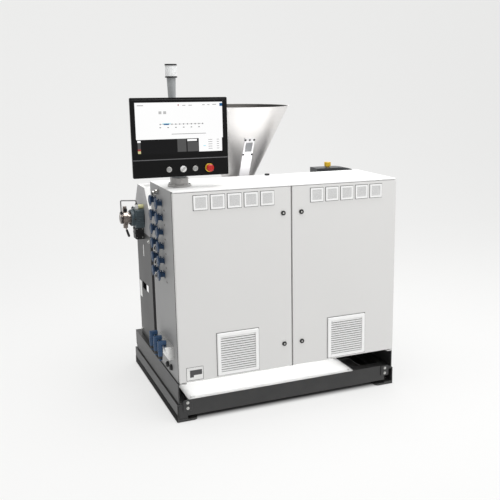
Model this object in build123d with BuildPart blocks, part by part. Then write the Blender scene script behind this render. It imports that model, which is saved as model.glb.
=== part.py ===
from build123d import *
import os

# Compact single-screw plastic extruder on a bolted base frame.
# Millimetres, +Z up, front (cabinet doors) towards -Y, die end towards -X.
# The origin lies on the floor, midway between the four anchor holes.

# Base frame: it is as long and as deep as what stands on it, with these margins
side_margin = 17
rear_margin = 62.5
service_gap = 163
foot_width = 120
foot_depth = 160
foot_thickness = 12
foot_radius = 25
anchor_hole = 18
anchor_inset_x = 90
anchor_inset_y = 110
rail_width = 60
rail_height = 96
channel_wall = 6
beam_width = 60
beam_height = 96
beam_rise = 22
middle_beam_overlap = 42
splice_width = 52
splice_height = 66
splice_thickness = 6
splice_radius = 6

# Machine frame that stands on the base
strip_height = 4
strip_width = 30
strip_inset = 12
frame_inset = 9
frame_width = 50
frame_height = 118
frame_corner_cut = 24
cross_width = 60
cross_clearance = 2

# Drip tray
tray_inset = 67
tray_right_inset = 283
tray_depth = 470
tray_thickness = 2
tray_radius = 8

# Control cabinet
cabinet_width = 1366
cabinet_depth = 500
cabinet_height = 1086
cabinet_overhang = 20.5
sheet = 2.5
roof_thickness = 3
roof_radius = 2
front_return = 30
post_width = 60
post_depth = 25

# Doors and the pins that they turn on
door_thickness = 22
door_sheet = 2
door_radius = 3
door_gap = 8
door_rise = 11
door_top_gap = 6
door_clearance = 10
pivot_inset = 10
pivot_setback = 11
pin_diameter = 10
pin_clearance = 0.3
pin_engagement = 12
pivot_plate_thickness = 4
pivot_plate_width = 34

# Louvred filters in the doors
filter_size = 250
filter_radius = 6
filter_border = 20
filter_proud = 10
filter_bevel = 4
filter_body = 216
filter_depth = 45
filter_rise = 137
filter_shifts = (5.5, 10.5)
slat_count = 15
slat_thickness = 2.2
slat_recess = 1.5

# Small square vents and quarter-turn locks in the doors
vent_size = 78
vent_radius = 3
vent_border = 9
vent_proud = 5
vent_recess = 3
vent_count = 5
vent_pitch = 96.3
vent_drop = 66
vent_shifts = (3.5, 6)
vent_plug = 60
vent_plug_depth = 12
lock_diameter = 26
lock_proud = 6
lock_barrel = 18
lock_slot_width = 3
lock_slot_depth = 2.5
lock_insets = (48, 56)
lock_rise = 143
lock_drop = 148
fit_clearance = 1

# Heating sockets on the left cabinet wall
socket_rows = 6
socket_pitch = 82
socket_drop = 93
socket_setbacks = (112, 250)
socket_plate = 36
socket_plate_thickness = 4
socket_barrel = 30
socket_reach = 28
socket_lid = 58
socket_lid_thickness = 8
socket_lid_bevel = 4
socket_hinge_width = 16
socket_hinge_depth = 14

# Cable glands, grommets and the lower plug box on the left cabinet wall
gland_body = 30
gland_nut = 32
gland_nut_length = 12
gland_length = 20
gland_spots = ((130, 54), (196, 38), (128, 374), (128, 456), (128, 538))
grommet_diameter = 36
grommet_length = 16
grommet_bevel = 7
grommet_spots = ((250, 42), (330, 50))
plug_box_setback = 100
plug_box_length = 290
plug_box_rise = 195
plug_box_height = 78
plug_box_depth = 52
plug_box_foot = 30
plug_box_radius = 3
plug_count = 3
plug_pitch = 100
plug_diameter = 28
plug_neck = 34
plug_drop = 74
plug_nut = 20
plug_nut_length = 26

# Operator panel
swivel_inset = 98
swivel_setback = 213
swivel_flange = 130
swivel_flange_height = 12
swivel_neck = 100
swivel_height = 50
swivel_bevel = 4
arm_gap = 0.3
arm_diameter = 84
arm_plate_height = 8
arm_post = 46
arm_height = 134
arm_radius = 8
panel_width = 528
panel_height = 420
panel_rise = 65
panel_left_reach = 272
panel_setback = 118
panel_frame_thickness = 16
panel_depth = 58
panel_radius = 6
panel_edge = 2
panel_back_inset = 26
panel_back_taper = 18
screen_width = 476
screen_height = 268
screen_inset = 24
screen_drop = 25
screen_thickness = 2
control_rise = 41
button_places = (193, 338)
button_ring = 29.5
button_ring_height = 4
button_cap = 22
button_cap_height = 9
selector_place = 270
selector_width = 10
selector_height = 17
stop_place = 417
stop_collar = 44
stop_collar_height = 5
stop_stem = 24
stop_head = 40
stop_head_height = 15
stop_proud = 27
stop_crown = 5

# Signal light on its pole
beacon_inset = 104
beacon_setback = 322
beacon_foot = 76
beacon_foot_height = 10
pole_diameter = 42
pole_top_diameter = 50
pole_height = 587
pole_flare = 110
beacon_ring_diameter = 66
beacon_ring = 8
beacon_lamp_diameter = 60
beacon_lamp = 58

# Barrel line behind the cabinet
axis_rise = 816
column_inset = 29
column_wall = 5
column_width = 370
column_flange = 45
column_height = 720
window_length = 167
window_height = 48
window_rise = 332
window_shift = 6.5
window_radius = 6
guard_gap = 22
guard_wall = 2
guard_shoulder_rise = 74
guard_rise = 196
guard_top_width = 190
guard_bore = 150
barrel_diameter = 120
band_diameter = 140
band_count = 4
band_gap = 25
band_margin = 40

# Die end
block_width = 126
block_height = 116
block_thickness = 55
block_chamfer = 4
adapter_diameter = 96
adapter_thickness = 20
outlet_diameter = 60
outlet_length = 64
outlet_bore = 20
collar_diameter = 88
collar_width = 26
collar_setback = 20
collar_clearance = 0.3
collar_split = 3
ear_width = 22
ear_height = 34
swing_bolt = 12
swing_bolt_length = 26
swing_nut = 24
swing_nut_height = 14
lever_diameter = 10
lever_length = 66
lever_angle = 17
sensor_base = (14, 34, 30)
sensor_cap = 28
sensor_cap_length = 34
sensor_shift = 34
connector_length = 55
connector_width = 62
connector_height = 78
connector_radius = 8

# Machine housing, feed section and hopper
housing_left_inset = 161
housing_right_inset = 1
housing_width = 440
housing_radius = 5
hopper_shift = -20
throat_size = 170
throat_height = 230
throat_flange = 200
throat_flange_height = 14
throat_depth = 90
hopper_rim = 690
hopper_neck = 130
hopper_height = 547
hopper_wall = 2
hopper_collar = 186
hopper_collar_height = 8
rim_lip = 8
sight_width = 66
sight_low = 60
sight_length = 330
sight_proud = 7
sight_radius = 4
sight_window_width = 46
sight_window_length = 66
sight_window_inset = 30
sight_glass = 3
sight_clearance = 0.3

# Gearbox
gearbox_inset = 251
gearbox_length = 270
gearbox_width = 440
gearbox_height = 280
gearbox_radius = 10
gearbox_flange = 12
gearbox_flange_height = 22
gearbox_flange_rise = 190
cap_diameter = 150
cap_height = 16
cap_spread = 190
case_proud = 30
case_width = 110
case_height = 373
case_nose = 115
case_nose_drop = 30
breather_inset = 105
breather_setback = 60
breather_diameter = 46
breather_neck = 26
breather_height = 26
roof_plug_diameter = 30
roof_plug_height = 10
roof_plug_x = 36
roof_plug_setback = 37

# Values that follow from the sizes above
base_length = cabinet_width + 2 * side_margin
base_depth = cabinet_depth - cabinet_overhang + service_gap + column_width + rear_margin
half_length = base_length / 2
half_depth = base_depth / 2
rail_bottom = foot_thickness
rail_top = rail_bottom + rail_height
beam_bottom = rail_bottom + beam_rise
beam_top = beam_bottom + beam_height
frame_bottom = rail_top + strip_height
frame_top = frame_bottom + frame_height
frame_side = half_length - frame_inset
half_cabinet = cabinet_width / 2
door_front = -half_depth - cabinet_overhang
door_back = door_front + door_thickness
cabinet_front = door_back + door_clearance
cabinet_back = door_front + cabinet_depth
cabinet_top = frame_top + cabinet_height
roof_bottom = cabinet_top - roof_thickness
door_bottom = frame_top + door_rise
door_top = roof_bottom - door_top_gap
door_width = half_cabinet - door_gap / 2
pivot_x = half_cabinet - pivot_inset
pivot_y = door_front + pivot_setback
axis_y = half_depth - rear_margin - column_width / 2
axis_z = frame_top + axis_rise
column_face = column_inset - frame_side
column_top = frame_top + column_height

os.makedirs("parts", exist_ok=True)


def save(piece, label):
    piece.part.label = label
    export_step(piece.part, f"parts/{label}.step")


def block(x, y, z):
    """A plain block from three (low, high) pairs."""
    with BuildPart() as piece:
        with BuildSketch(Plane.XY.offset(z[0])):
            with Locations(((x[0] + x[1]) / 2, (y[0] + y[1]) / 2)):
                Rectangle(x[1] - x[0], y[1] - y[0])
        extrude(amount=z[1] - z[0])
    return piece


def channel(plane, side, outer, width, z, length):
    """A rolled C-channel: its web faces the given side, its flanges point the other way."""
    middle = (z[0] + z[1]) / 2
    with BuildPart() as piece:
        with BuildSketch(plane):
            with Locations((outer - side * width / 2, middle)):
                Rectangle(width, z[1] - z[0])
            with Locations((outer - side * width, middle)):
                hollow = (2 * (width - channel_wall), z[1] - z[0] - 2 * channel_wall)
                RectangleRounded(*hollow, channel_wall, mode=Mode.SUBTRACT)
        extrude(amount=length)
    return piece.part


# Base rails: one C-channel on each side, over the full depth
side_plane = Plane.XZ.offset(-half_depth)
rail_levels = (rail_bottom, rail_top)
left_rail = channel(side_plane, -1, -half_length, rail_width, rail_levels, base_depth)
right_rail = channel(side_plane, 1, half_length, rail_width, rail_levels, base_depth)
with BuildPart() as rails:
    add([left_rail, right_rail])
save(rails, "base_rails")

# Base beams between the rails: front, middle and rear
middle_beam_y = cabinet_back - middle_beam_overlap
beam_length = base_length - 2 * rail_width
beam_plane = Plane.YZ.offset(-beam_length / 2)
beam_levels = (beam_bottom, beam_top)
front_beam = channel(beam_plane, -1, -half_depth, beam_width, beam_levels, beam_length)
middle_beam = channel(beam_plane, -1, middle_beam_y, beam_width, beam_levels, beam_length)
rear_beam = channel(beam_plane, 1, half_depth, beam_width, beam_levels, beam_length)
with BuildPart() as beams:
    add([front_beam, middle_beam, rear_beam])
save(beams, "base_beams")

# Foot plates under the four corners, each with an anchor hole and rounded inner corners
with BuildPart() as feet:
    for side_x in (-1, 1):
        for side_y in (-1, 1):
            foot_place = (side_x * (half_length - foot_width / 2), side_y * (half_depth - foot_depth / 2))
            anchor_place = (side_x * (half_length - anchor_inset_x), side_y * (half_depth - anchor_inset_y))
            with BuildSketch() as foot:
                with Locations(foot_place):
                    Rectangle(foot_width, foot_depth)
                inner_corners = foot.vertices().group_by(Axis.X)[-1 if side_x < 0 else 0]
                fillet(inner_corners, foot_radius)
                with Locations(anchor_place):
                    Circle(anchor_hole / 2, mode=Mode.SUBTRACT)
            extrude(amount=foot_thickness)
save(feet, "foot_plates")

# Splice plates bolted across the joints of rails and beams, front and rear
with BuildPart() as splices:
    for side_x in (-1, 1):
        for face_y in (-half_depth, half_depth + splice_thickness):
            with BuildSketch(Plane.XZ.offset(-face_y)):
                with Locations((side_x * (half_length - rail_width), beam_top - splice_height / 2)):
                    RectangleRounded(splice_width, splice_height, splice_radius)
            extrude(amount=splice_thickness)
save(splices, "splice_plates")

# Rubber strips that the machine frame stands on
with BuildPart() as strips:
    for side in (-1, 1):
        with BuildSketch(Plane.XY.offset(rail_top)):
            with Locations((side * (frame_side - strip_inset - strip_width / 2), 0)):
                Rectangle(strip_width, base_depth - 2 * strip_inset)
        extrude(amount=strip_height)
save(strips, "rubber_strips")

# Machine frame: a deep C-channel on each side, its lower rear corner cut off
frame_levels = (frame_bottom, frame_top)
left_channel = channel(side_plane, -1, -frame_side, frame_width, frame_levels, base_depth)
right_channel = channel(side_plane, 1, frame_side, frame_width, frame_levels, base_depth)
with BuildPart() as frame_channels:
    add([left_channel, right_channel])
    with BuildSketch(Plane.YZ.offset(-frame_side)):
        with BuildLine():
            Polyline(
                (half_depth, frame_bottom),
                (half_depth, frame_bottom + frame_corner_cut),
                (half_depth - frame_corner_cut, frame_bottom),
                close=True,
            )
        make_face()
    extrude(amount=2 * frame_side, mode=Mode.SUBTRACT)
save(frame_channels, "frame_channels")

# Cross members of the machine frame, in the middle and at the rear
cross_length = 2 * (frame_side - frame_width)
cross_levels = (beam_top + tray_thickness + cross_clearance, frame_top)
cross_plane = Plane.YZ.offset(-cross_length / 2)
middle_cross = channel(cross_plane, -1, middle_beam_y, cross_width, cross_levels, cross_length)
rear_cross = channel(cross_plane, 1, half_depth, cross_width, cross_levels, cross_length)
with BuildPart() as cross_members:
    add([middle_cross, rear_cross])
save(cross_members, "cross_members")

# Drip tray: one bright sheet on the front and middle base beams
tray_length = base_length - tray_inset - tray_right_inset
with BuildPart() as tray:
    with BuildSketch(Plane.XY.offset(beam_top)):
        with Locations((tray_inset + tray_length / 2 - half_length, tray_depth / 2 - half_depth)):
            RectangleRounded(tray_length, tray_depth, tray_radius)
    extrude(amount=tray_thickness)
save(tray, "drip_tray")

# Cabinet side walls, folded inwards at the front
with BuildPart() as side_walls:
    for side in (-1, 1):
        outer = side * half_cabinet
        with BuildSketch(Plane.XY.offset(frame_top)):
            with Locations((outer - side * sheet / 2, (cabinet_front + cabinet_back) / 2)):
                Rectangle(sheet, cabinet_back - cabinet_front)
            with Locations((outer - side * front_return / 2, cabinet_front + sheet / 2)):
                Rectangle(front_return, sheet)
        extrude(amount=roof_bottom - frame_top)
save(side_walls, "cabinet_side_walls")

# Cabinet back wall, floor, middle post and roof
cabinet_inside = (sheet - half_cabinet, half_cabinet - sheet)
back_wall = block(cabinet_inside, (cabinet_back - sheet, cabinet_back), (frame_top, roof_bottom))
save(back_wall, "cabinet_back_wall")

floor_span = (cabinet_front + sheet, cabinet_back - sheet)
floor = block(cabinet_inside, floor_span, (frame_top, frame_top + sheet))
save(floor, "cabinet_floor")

with BuildPart() as post:
    with BuildSketch(Plane.XY.offset(frame_top + sheet)):
        with Locations((0, cabinet_front + post_depth / 2)):
            Rectangle(post_width, post_depth)
        with Locations((0, cabinet_front + (post_depth + sheet) / 2)):
            Rectangle(post_width - 2 * sheet, post_depth - sheet, mode=Mode.SUBTRACT)
    extrude(amount=roof_bottom - frame_top - sheet)
save(post, "cabinet_post")

with BuildPart() as roof:
    with BuildSketch(Plane.XY.offset(roof_bottom)):
        with Locations((0, (door_front + cabinet_back) / 2)):
            Rectangle(cabinet_width, cabinet_depth)
    extrude(amount=roof_thickness)
    fillet(roof.edges().group_by(Axis.Z)[-1], roof_radius)
save(roof, "cabinet_roof")

# Door pivots: a pin under the roof's front edge and a plate with a pin below each door
with BuildPart() as pivots:
    for side in (-1, 1):
        with BuildSketch(Plane.XY.offset(roof_bottom)):
            with Locations((side * pivot_x, pivot_y)):
                Circle(pin_diameter / 2)
        extrude(amount=-(door_top_gap + pin_engagement))
        plate_middle = half_cabinet - sheet - pivot_plate_width / 2
        with BuildSketch(Plane.XY.offset(frame_top)):
            with Locations((side * plate_middle, (door_front + cabinet_front) / 2)):
                Rectangle(pivot_plate_width, cabinet_front - door_front)
        extrude(amount=pivot_plate_thickness)
        with BuildSketch(Plane.XY.offset(frame_top + pivot_plate_thickness)):
            with Locations((side * pivot_x, pivot_y)):
                Circle(pin_diameter / 2)
        extrude(amount=door_rise - pivot_plate_thickness + pin_engagement)
save(pivots, "door_pivots")

# Heights of what sits in the doors
filter_level = door_bottom + filter_rise
vent_level = cabinet_top - vent_drop
lock_levels = (door_bottom + lock_rise, door_top - lock_drop)
vent_offsets = [(number - (vent_count - 1) / 2) * vent_pitch for number in range(vent_count)]


def build_door(name, side, filter_x, vent_spots, lock_spots):
    """A folded sheet pan, open to the cabinet, with cut-outs and rounded front edges."""
    middle = side * (door_gap / 2 + door_width / 2)
    height = door_top - door_bottom
    level = (door_top + door_bottom) / 2
    with BuildPart() as door:
        with BuildSketch(Plane.XZ.offset(-door_back)):
            with Locations((middle, level)):
                Rectangle(door_width, height)
        extrude(amount=door_thickness)
        fillet(door.edges().group_by(Axis.Y)[0], door_radius)
        with BuildSketch(Plane.XZ.offset(-door_back)):
            with Locations((middle, level)):
                Rectangle(door_width - 2 * door_sheet, height - 2 * door_sheet)
        extrude(amount=door_thickness - door_sheet, mode=Mode.SUBTRACT)
        with BuildSketch(Plane.XZ.offset(-door_back)):
            with Locations((filter_x, filter_level)):
                Rectangle(filter_body + 2 * fit_clearance, filter_body + 2 * fit_clearance)
            with Locations(*vent_spots):
                Rectangle(vent_plug + 2 * fit_clearance, vent_plug + 2 * fit_clearance)
            with Locations(*lock_spots):
                Circle(lock_barrel / 2 + fit_clearance)
        extrude(amount=door_thickness, mode=Mode.SUBTRACT)
        with BuildSketch(Plane.XY.offset(door_bottom)):
            with Locations((side * pivot_x, pivot_y)):
                Circle(pin_diameter / 2 + pin_clearance)
        extrude(amount=height, mode=Mode.SUBTRACT)
    save(door, f"{name}_door")


def build_filter(name, filter_x):
    """A louvred cover: bevelled border, sloping slats, and the filter body behind the door."""
    grille = filter_size - 2 * filter_border
    pitch = grille / slat_count
    slat_front = door_front - filter_proud + slat_recess
    with BuildPart() as cover:
        with BuildSketch(Plane.XZ.offset(-door_front)):
            with Locations((filter_x, filter_level)):
                RectangleRounded(filter_size, filter_size, filter_radius)
        extrude(amount=filter_proud)
        chamfer(cover.edges().group_by(Axis.Y)[0], filter_bevel)
        with BuildSketch(Plane.XZ.offset(-door_front)):
            with Locations((filter_x, filter_level)):
                Rectangle(grille, grille)
        extrude(amount=filter_proud, mode=Mode.SUBTRACT)
        with BuildSketch(Plane.YZ.offset(filter_x - grille / 2)):
            for number in range(slat_count):
                level = filter_level - grille / 2 + (number + 0.5) * pitch
                with BuildLine():
                    Polyline(
                        (door_front, level + pitch / 2 - slat_thickness),
                        (door_front, level + pitch / 2),
                        (slat_front, level - pitch / 4 + slat_thickness),
                        (slat_front, level - pitch / 4),
                        close=True,
                    )
                make_face()
        extrude(amount=grille)
        with BuildSketch(Plane.XZ.offset(-door_front)):
            with Locations((filter_x, filter_level)):
                Rectangle(filter_body, filter_body)
        extrude(amount=-filter_depth)
    save(cover, f"{name}_fan_filter")


def build_vents(name, spots):
    """A row of small square vents: a raised border round a sunk field, and a plug behind it."""
    with BuildPart() as vents:
        with BuildSketch(Plane.XZ.offset(-door_front)):
            with Locations(*spots):
                RectangleRounded(vent_size, vent_size, vent_radius)
        extrude(amount=vent_proud)
        with BuildSketch(Plane.XZ.offset(vent_proud - door_front)):
            with Locations(*spots):
                Rectangle(vent_size - 2 * vent_border, vent_size - 2 * vent_border)
        extrude(amount=-vent_recess, mode=Mode.SUBTRACT)
        with BuildSketch(Plane.XZ.offset(-door_front)):
            with Locations(*spots):
                Rectangle(vent_plug, vent_plug)
        extrude(amount=-vent_plug_depth)
    save(vents, f"{name}_door_vents")


def build_locks(name, spots):
    """Quarter-turn locks: a round head with a key slot on a barrel through the door."""
    with BuildPart() as locks:
        with BuildSketch(Plane.XZ.offset(-door_front)):
            with Locations(*spots):
                Circle(lock_diameter / 2)
        extrude(amount=lock_proud)
        with BuildSketch(Plane.XZ.offset(lock_proud - door_front)):
            with Locations(*spots):
                Rectangle(lock_slot_width, lock_barrel)
        extrude(amount=-lock_slot_depth, mode=Mode.SUBTRACT)
        with BuildSketch(Plane.XZ.offset(-door_front)):
            with Locations(*spots):
                Circle(lock_barrel / 2)
        extrude(amount=-door_thickness)
    save(locks, f"{name}_door_locks")


# Both doors with their filter, vents and locks
for index, (side, name) in enumerate(((-1, "left"), (1, "right"))):
    door_middle = side * (door_gap / 2 + door_width / 2)
    filter_x = door_middle + filter_shifts[index]
    vent_spots = [(door_middle + vent_shifts[index] + offset, vent_level) for offset in vent_offsets]
    lock_x = side * (door_gap / 2 + lock_insets[index])
    lock_spots = [(lock_x, level) for level in lock_levels]
    build_door(name, side, filter_x, vent_spots, lock_spots)
    build_filter(name, filter_x)
    build_vents(name, vent_spots)
    build_locks(name, lock_spots)

# Heating sockets: a wall plate, a round barrel and a bevelled spring lid with its hinge
socket_face = -half_cabinet
lid_inner = socket_face - socket_reach
lid_outer = lid_inner - socket_lid_thickness
with BuildPart() as sockets:
    for setback in socket_setbacks:
        column_y = cabinet_back - setback
        for row in range(socket_rows):
            level = cabinet_top - socket_drop - row * socket_pitch
            with BuildSketch(Plane.YZ.offset(socket_face)):
                with Locations((column_y, level)):
                    Rectangle(socket_plate, socket_plate)
            extrude(amount=-socket_plate_thickness)
            with BuildSketch(Plane.XY.offset(level)):
                with BuildLine():
                    Polyline(
                        (socket_face, column_y),
                        (socket_face, column_y + socket_barrel / 2),
                        (lid_inner, column_y + socket_barrel / 2),
                        (lid_inner, column_y + socket_lid / 2),
                        (lid_outer + socket_lid_bevel, column_y + socket_lid / 2),
                        (lid_outer, column_y + socket_lid / 2 - socket_lid_bevel),
                        (lid_outer, column_y),
                        close=True,
                    )
                make_face()
            revolve(axis=Axis((socket_face, column_y, level), (1, 0, 0)))
            with BuildSketch(Plane.XY.offset(level)):
                with Locations((lid_inner + socket_hinge_depth / 2, column_y)):
                    Rectangle(socket_hinge_depth, socket_hinge_width)
            extrude(amount=socket_lid / 2 - socket_lid_bevel)
save(sockets, "wall_sockets")

# Metal cable glands beside the sockets: a hexagon nut and a round end
with BuildPart() as glands:
    for setback, drop in gland_spots:
        with BuildSketch(Plane.YZ.offset(socket_face)):
            with Locations((cabinet_back - setback, cabinet_top - drop)):
                RegularPolygon(gland_nut / 2, 6)
        extrude(amount=-gland_nut_length)
        with BuildSketch(Plane.YZ.offset(socket_face - gland_nut_length)):
            with Locations((cabinet_back - setback, cabinet_top - drop)):
                Circle(gland_body / 2)
        extrude(amount=-(gland_length - gland_nut_length))
save(glands, "cable_glands")

# Rubber grommets low on the wall, with bevelled ends
with BuildPart() as grommets:
    for setback, rise in grommet_spots:
        with BuildSketch(Plane.YZ.offset(socket_face)):
            with Locations((cabinet_back - setback, frame_top + rise)):
                Circle(grommet_diameter / 2)
        extrude(amount=-grommet_length)
    chamfer(grommets.edges().group_by(Axis.X)[0], grommet_bevel)
save(grommets, "cable_grommets")

# Lower plug box: narrower at its foot, with three angled plugs that reach over its top edge
box_rear = cabinet_back - plug_box_setback
box_top = frame_top + plug_box_rise
box_face = socket_face - plug_box_depth
with BuildPart() as plug_box:
    with BuildSketch(Plane.XZ.offset(-box_rear)):
        with BuildLine():
            Polyline(
                (socket_face, box_top - plug_box_height),
                (socket_face, box_top),
                (box_face, box_top),
                (socket_face - plug_box_foot, box_top - plug_box_height),
                close=True,
            )
        make_face()
    extrude(amount=plug_box_length)
    fillet(plug_box.edges().filter_by(Axis.Y).group_by(Axis.X)[0], plug_box_radius)
save(plug_box, "plug_box")

plug_level = box_top + plug_diameter / 2 + arm_gap
plug_x = box_face - plug_diameter / 2 - arm_gap
plug_end = plug_level - plug_drop
plug_first = box_rear - plug_box_length / 2 + (plug_count - 1) * plug_pitch / 2
with BuildPart() as plugs:
    for number in range(plug_count):
        plug_y = plug_first - number * plug_pitch
        neck_end = (plug_x + plug_neck, plug_y, plug_level)
        with BuildLine() as route:
            Polyline(neck_end, (plug_x, plug_y, plug_level), (plug_x, plug_y, plug_end))
        with BuildSketch(Plane(origin=neck_end, z_dir=(-1, 0, 0))):
            Circle(plug_diameter / 2)
        sweep(path=route.line, transition=Transition.RIGHT)
        with BuildSketch(Plane.XY.offset(plug_end)):
            with Locations((plug_x, plug_y)):
                Circle(plug_nut / 2)
        extrude(amount=-plug_nut_length)
save(plugs, "hanging_plugs")

# Operator panel: fixed foot on the roof
swivel_x = swivel_inset - half_cabinet
swivel_y = door_front + swivel_setback
swivel_top = cabinet_top + swivel_height
with BuildPart() as swivel_foot:
    with BuildSketch(Plane.XY.offset(cabinet_top)):
        with Locations((swivel_x, swivel_y)):
            Circle(swivel_flange / 2)
    extrude(amount=swivel_flange_height)
    chamfer(swivel_foot.edges().group_by(Axis.Z)[-1], swivel_bevel)
    with BuildSketch(Plane.XY.offset(cabinet_top + swivel_flange_height)):
        with Locations((swivel_x, swivel_y)):
            Circle(swivel_neck / 2)
    extrude(amount=swivel_height - swivel_flange_height)
save(swivel_foot, "panel_swivel_foot")

# Turning arm: a round plate on the foot and a square post up the back of the panel
arm_bottom = swivel_top + arm_gap
panel_front = door_front + panel_setback
panel_back = panel_front + panel_depth
arm_rear = swivel_y + arm_post / 2
with BuildPart() as arm:
    with BuildSketch(Plane.XY.offset(arm_bottom)):
        with Locations((swivel_x, swivel_y)):
            Circle(arm_diameter / 2)
    extrude(amount=arm_plate_height)
    with BuildSketch(Plane.XY.offset(arm_bottom + arm_plate_height)) as arm_section:
        with Locations((swivel_x, (panel_back + arm_rear) / 2)):
            Rectangle(arm_post, arm_rear - panel_back)
        fillet(arm_section.vertices().group_by(Axis.Y)[-1], arm_radius)
    extrude(amount=arm_height - arm_plate_height)
save(arm, "panel_arm")

# Panel housing: a thin front frame and a deeper back cover with sloping sides
panel_left = swivel_x - panel_left_reach
panel_bottom = cabinet_top + panel_rise
panel_centre = (panel_left + panel_width / 2, panel_bottom + panel_height / 2)
screen_left = panel_left + screen_inset
screen_top = panel_bottom + panel_height - screen_drop
screen_centre = (screen_left + screen_width / 2, screen_top - screen_height / 2)
with BuildPart() as panel:
    with BuildSketch(Plane.XZ.offset(-panel_front - panel_frame_thickness)):
        with Locations(panel_centre):
            RectangleRounded(panel_width, panel_height, panel_radius)
    extrude(amount=panel_frame_thickness)
    fillet(panel.edges().group_by(Axis.Y)[0], panel_edge)
    with BuildSketch(Plane.XZ.offset(-panel_front - panel_frame_thickness)):
        with Locations(panel_centre):
            Rectangle(panel_width - 2 * panel_back_inset, panel_height - 2 * panel_back_inset)
    extrude(amount=-(panel_depth - panel_frame_thickness), taper=panel_back_taper)
    with BuildSketch(Plane.XZ.offset(-panel_front)):
        with Locations(screen_centre):
            Rectangle(screen_width, screen_height)
    extrude(amount=-screen_thickness, mode=Mode.SUBTRACT)
save(panel, "panel_housing")

with BuildPart() as screen:
    with BuildSketch(Plane.XZ.offset(-panel_front - screen_thickness)):
        with Locations(screen_centre):
            Rectangle(screen_width, screen_height)
    extrude(amount=screen_thickness)
save(screen, "panel_screen")

# Push buttons and selector switch: a ring on the panel, then a round cap or a narrow grip
control_level = panel_bottom + control_rise
button_spots = [(panel_left + place, control_level) for place in button_places]
selector_spot = (panel_left + selector_place, control_level)
with BuildPart() as buttons:
    with BuildSketch(Plane.XZ.offset(-panel_front)):
        with Locations(*button_spots, selector_spot):
            Circle(button_ring / 2)
    extrude(amount=button_ring_height)
    with BuildSketch(Plane.XZ.offset(button_ring_height - panel_front)):
        with Locations(*button_spots, selector_spot):
            Circle(button_cap / 2)
    extrude(amount=button_cap_height - button_ring_height)
    with BuildSketch(Plane.XZ.offset(button_cap_height - panel_front)):
        with Locations(Location(selector_spot, 45)):
            SlotOverall(button_ring, selector_width)
    extrude(amount=selector_height - button_cap_height)
save(buttons, "panel_buttons")

# Emergency stop: a collar, a stem and a bevelled mushroom head
stop_x = panel_left + stop_place
stop_face = panel_front - stop_proud
with BuildPart() as stop_button:
    with BuildSketch(Plane.XY.offset(control_level)):
        with BuildLine():
            Polyline(
                (stop_x, stop_face),
                (stop_x, panel_front),
                (stop_x + stop_collar / 2, panel_front),
                (stop_x + stop_collar / 2, panel_front - stop_collar_height),
                (stop_x + stop_stem / 2, panel_front - stop_collar_height),
                (stop_x + stop_stem / 2, stop_face + stop_head_height),
                (stop_x + stop_head / 2, stop_face + stop_head_height),
                (stop_x + stop_head / 2, stop_face),
                close=True,
            )
        make_face()
    revolve(axis=Axis((stop_x, panel_front, control_level), (0, 1, 0)))
    chamfer(stop_button.edges().group_by(Axis.Y)[0], stop_crown)
save(stop_button, "emergency_stop")

# Signal light: a foot, a tube that widens at its top, two rings and the lamp between them
beacon_x = beacon_inset - half_cabinet
beacon_y = door_front + beacon_setback
pole_top = cabinet_top + pole_height
beacon_at = (beacon_x, beacon_y, 0)
with BuildPart() as pole:
    with BuildSketch(Plane.XZ.offset(-beacon_y)):
        with BuildLine():
            Polyline(
                (beacon_x, cabinet_top),
                (beacon_x + beacon_foot / 2, cabinet_top),
                (beacon_x + beacon_foot / 2, cabinet_top + beacon_foot_height),
                (beacon_x + pole_diameter / 2, cabinet_top + beacon_foot_height),
                (beacon_x + pole_diameter / 2, pole_top - pole_flare),
                (beacon_x + pole_top_diameter / 2, pole_top),
                (beacon_x, pole_top),
                close=True,
            )
        make_face()
    revolve(axis=Axis(beacon_at, (0, 0, 1)))
save(pole, "signal_pole")

lamp_bottom = pole_top + beacon_ring
with BuildPart() as rings:
    for level in (pole_top, lamp_bottom + beacon_lamp):
        with BuildSketch(Plane.XY.offset(level)):
            with Locations((beacon_x, beacon_y)):
                Circle(beacon_ring_diameter / 2)
        extrude(amount=beacon_ring)
save(rings, "signal_light_rings")

with BuildPart() as lamp:
    with BuildSketch(Plane.XY.offset(lamp_bottom)):
        with Locations((beacon_x, beacon_y)):
            Circle(beacon_lamp_diameter / 2)
    extrude(amount=beacon_lamp)
save(lamp, "signal_light")

# End column: a folded sheet portal with a window, standing on the left frame channel
window_centre = (axis_y + window_shift, frame_top + window_rise + window_height / 2)
with BuildPart() as column:
    with BuildSketch(Plane.XY.offset(frame_top)):
        with Locations((column_face + column_flange / 2, axis_y)):
            Rectangle(column_flange, column_width)
        with Locations((column_face + (column_flange + column_wall) / 2, axis_y)):
            hollow = (column_flange - column_wall, column_width - 2 * column_wall)
            Rectangle(*hollow, mode=Mode.SUBTRACT)
    extrude(amount=column_height)
    with BuildSketch(Plane.YZ.offset(column_face)):
        with Locations(window_centre):
            RectangleRounded(window_length, window_height, window_radius)
    extrude(amount=column_wall, mode=Mode.SUBTRACT)
save(column, "end_column")

# Room along the barrel, from the column's face to the feed section
hopper_x = hopper_shift
barrel_length = hopper_x - throat_size / 2 - column_face
guard_length = hopper_x - throat_flange / 2 - guard_gap - column_face

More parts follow.
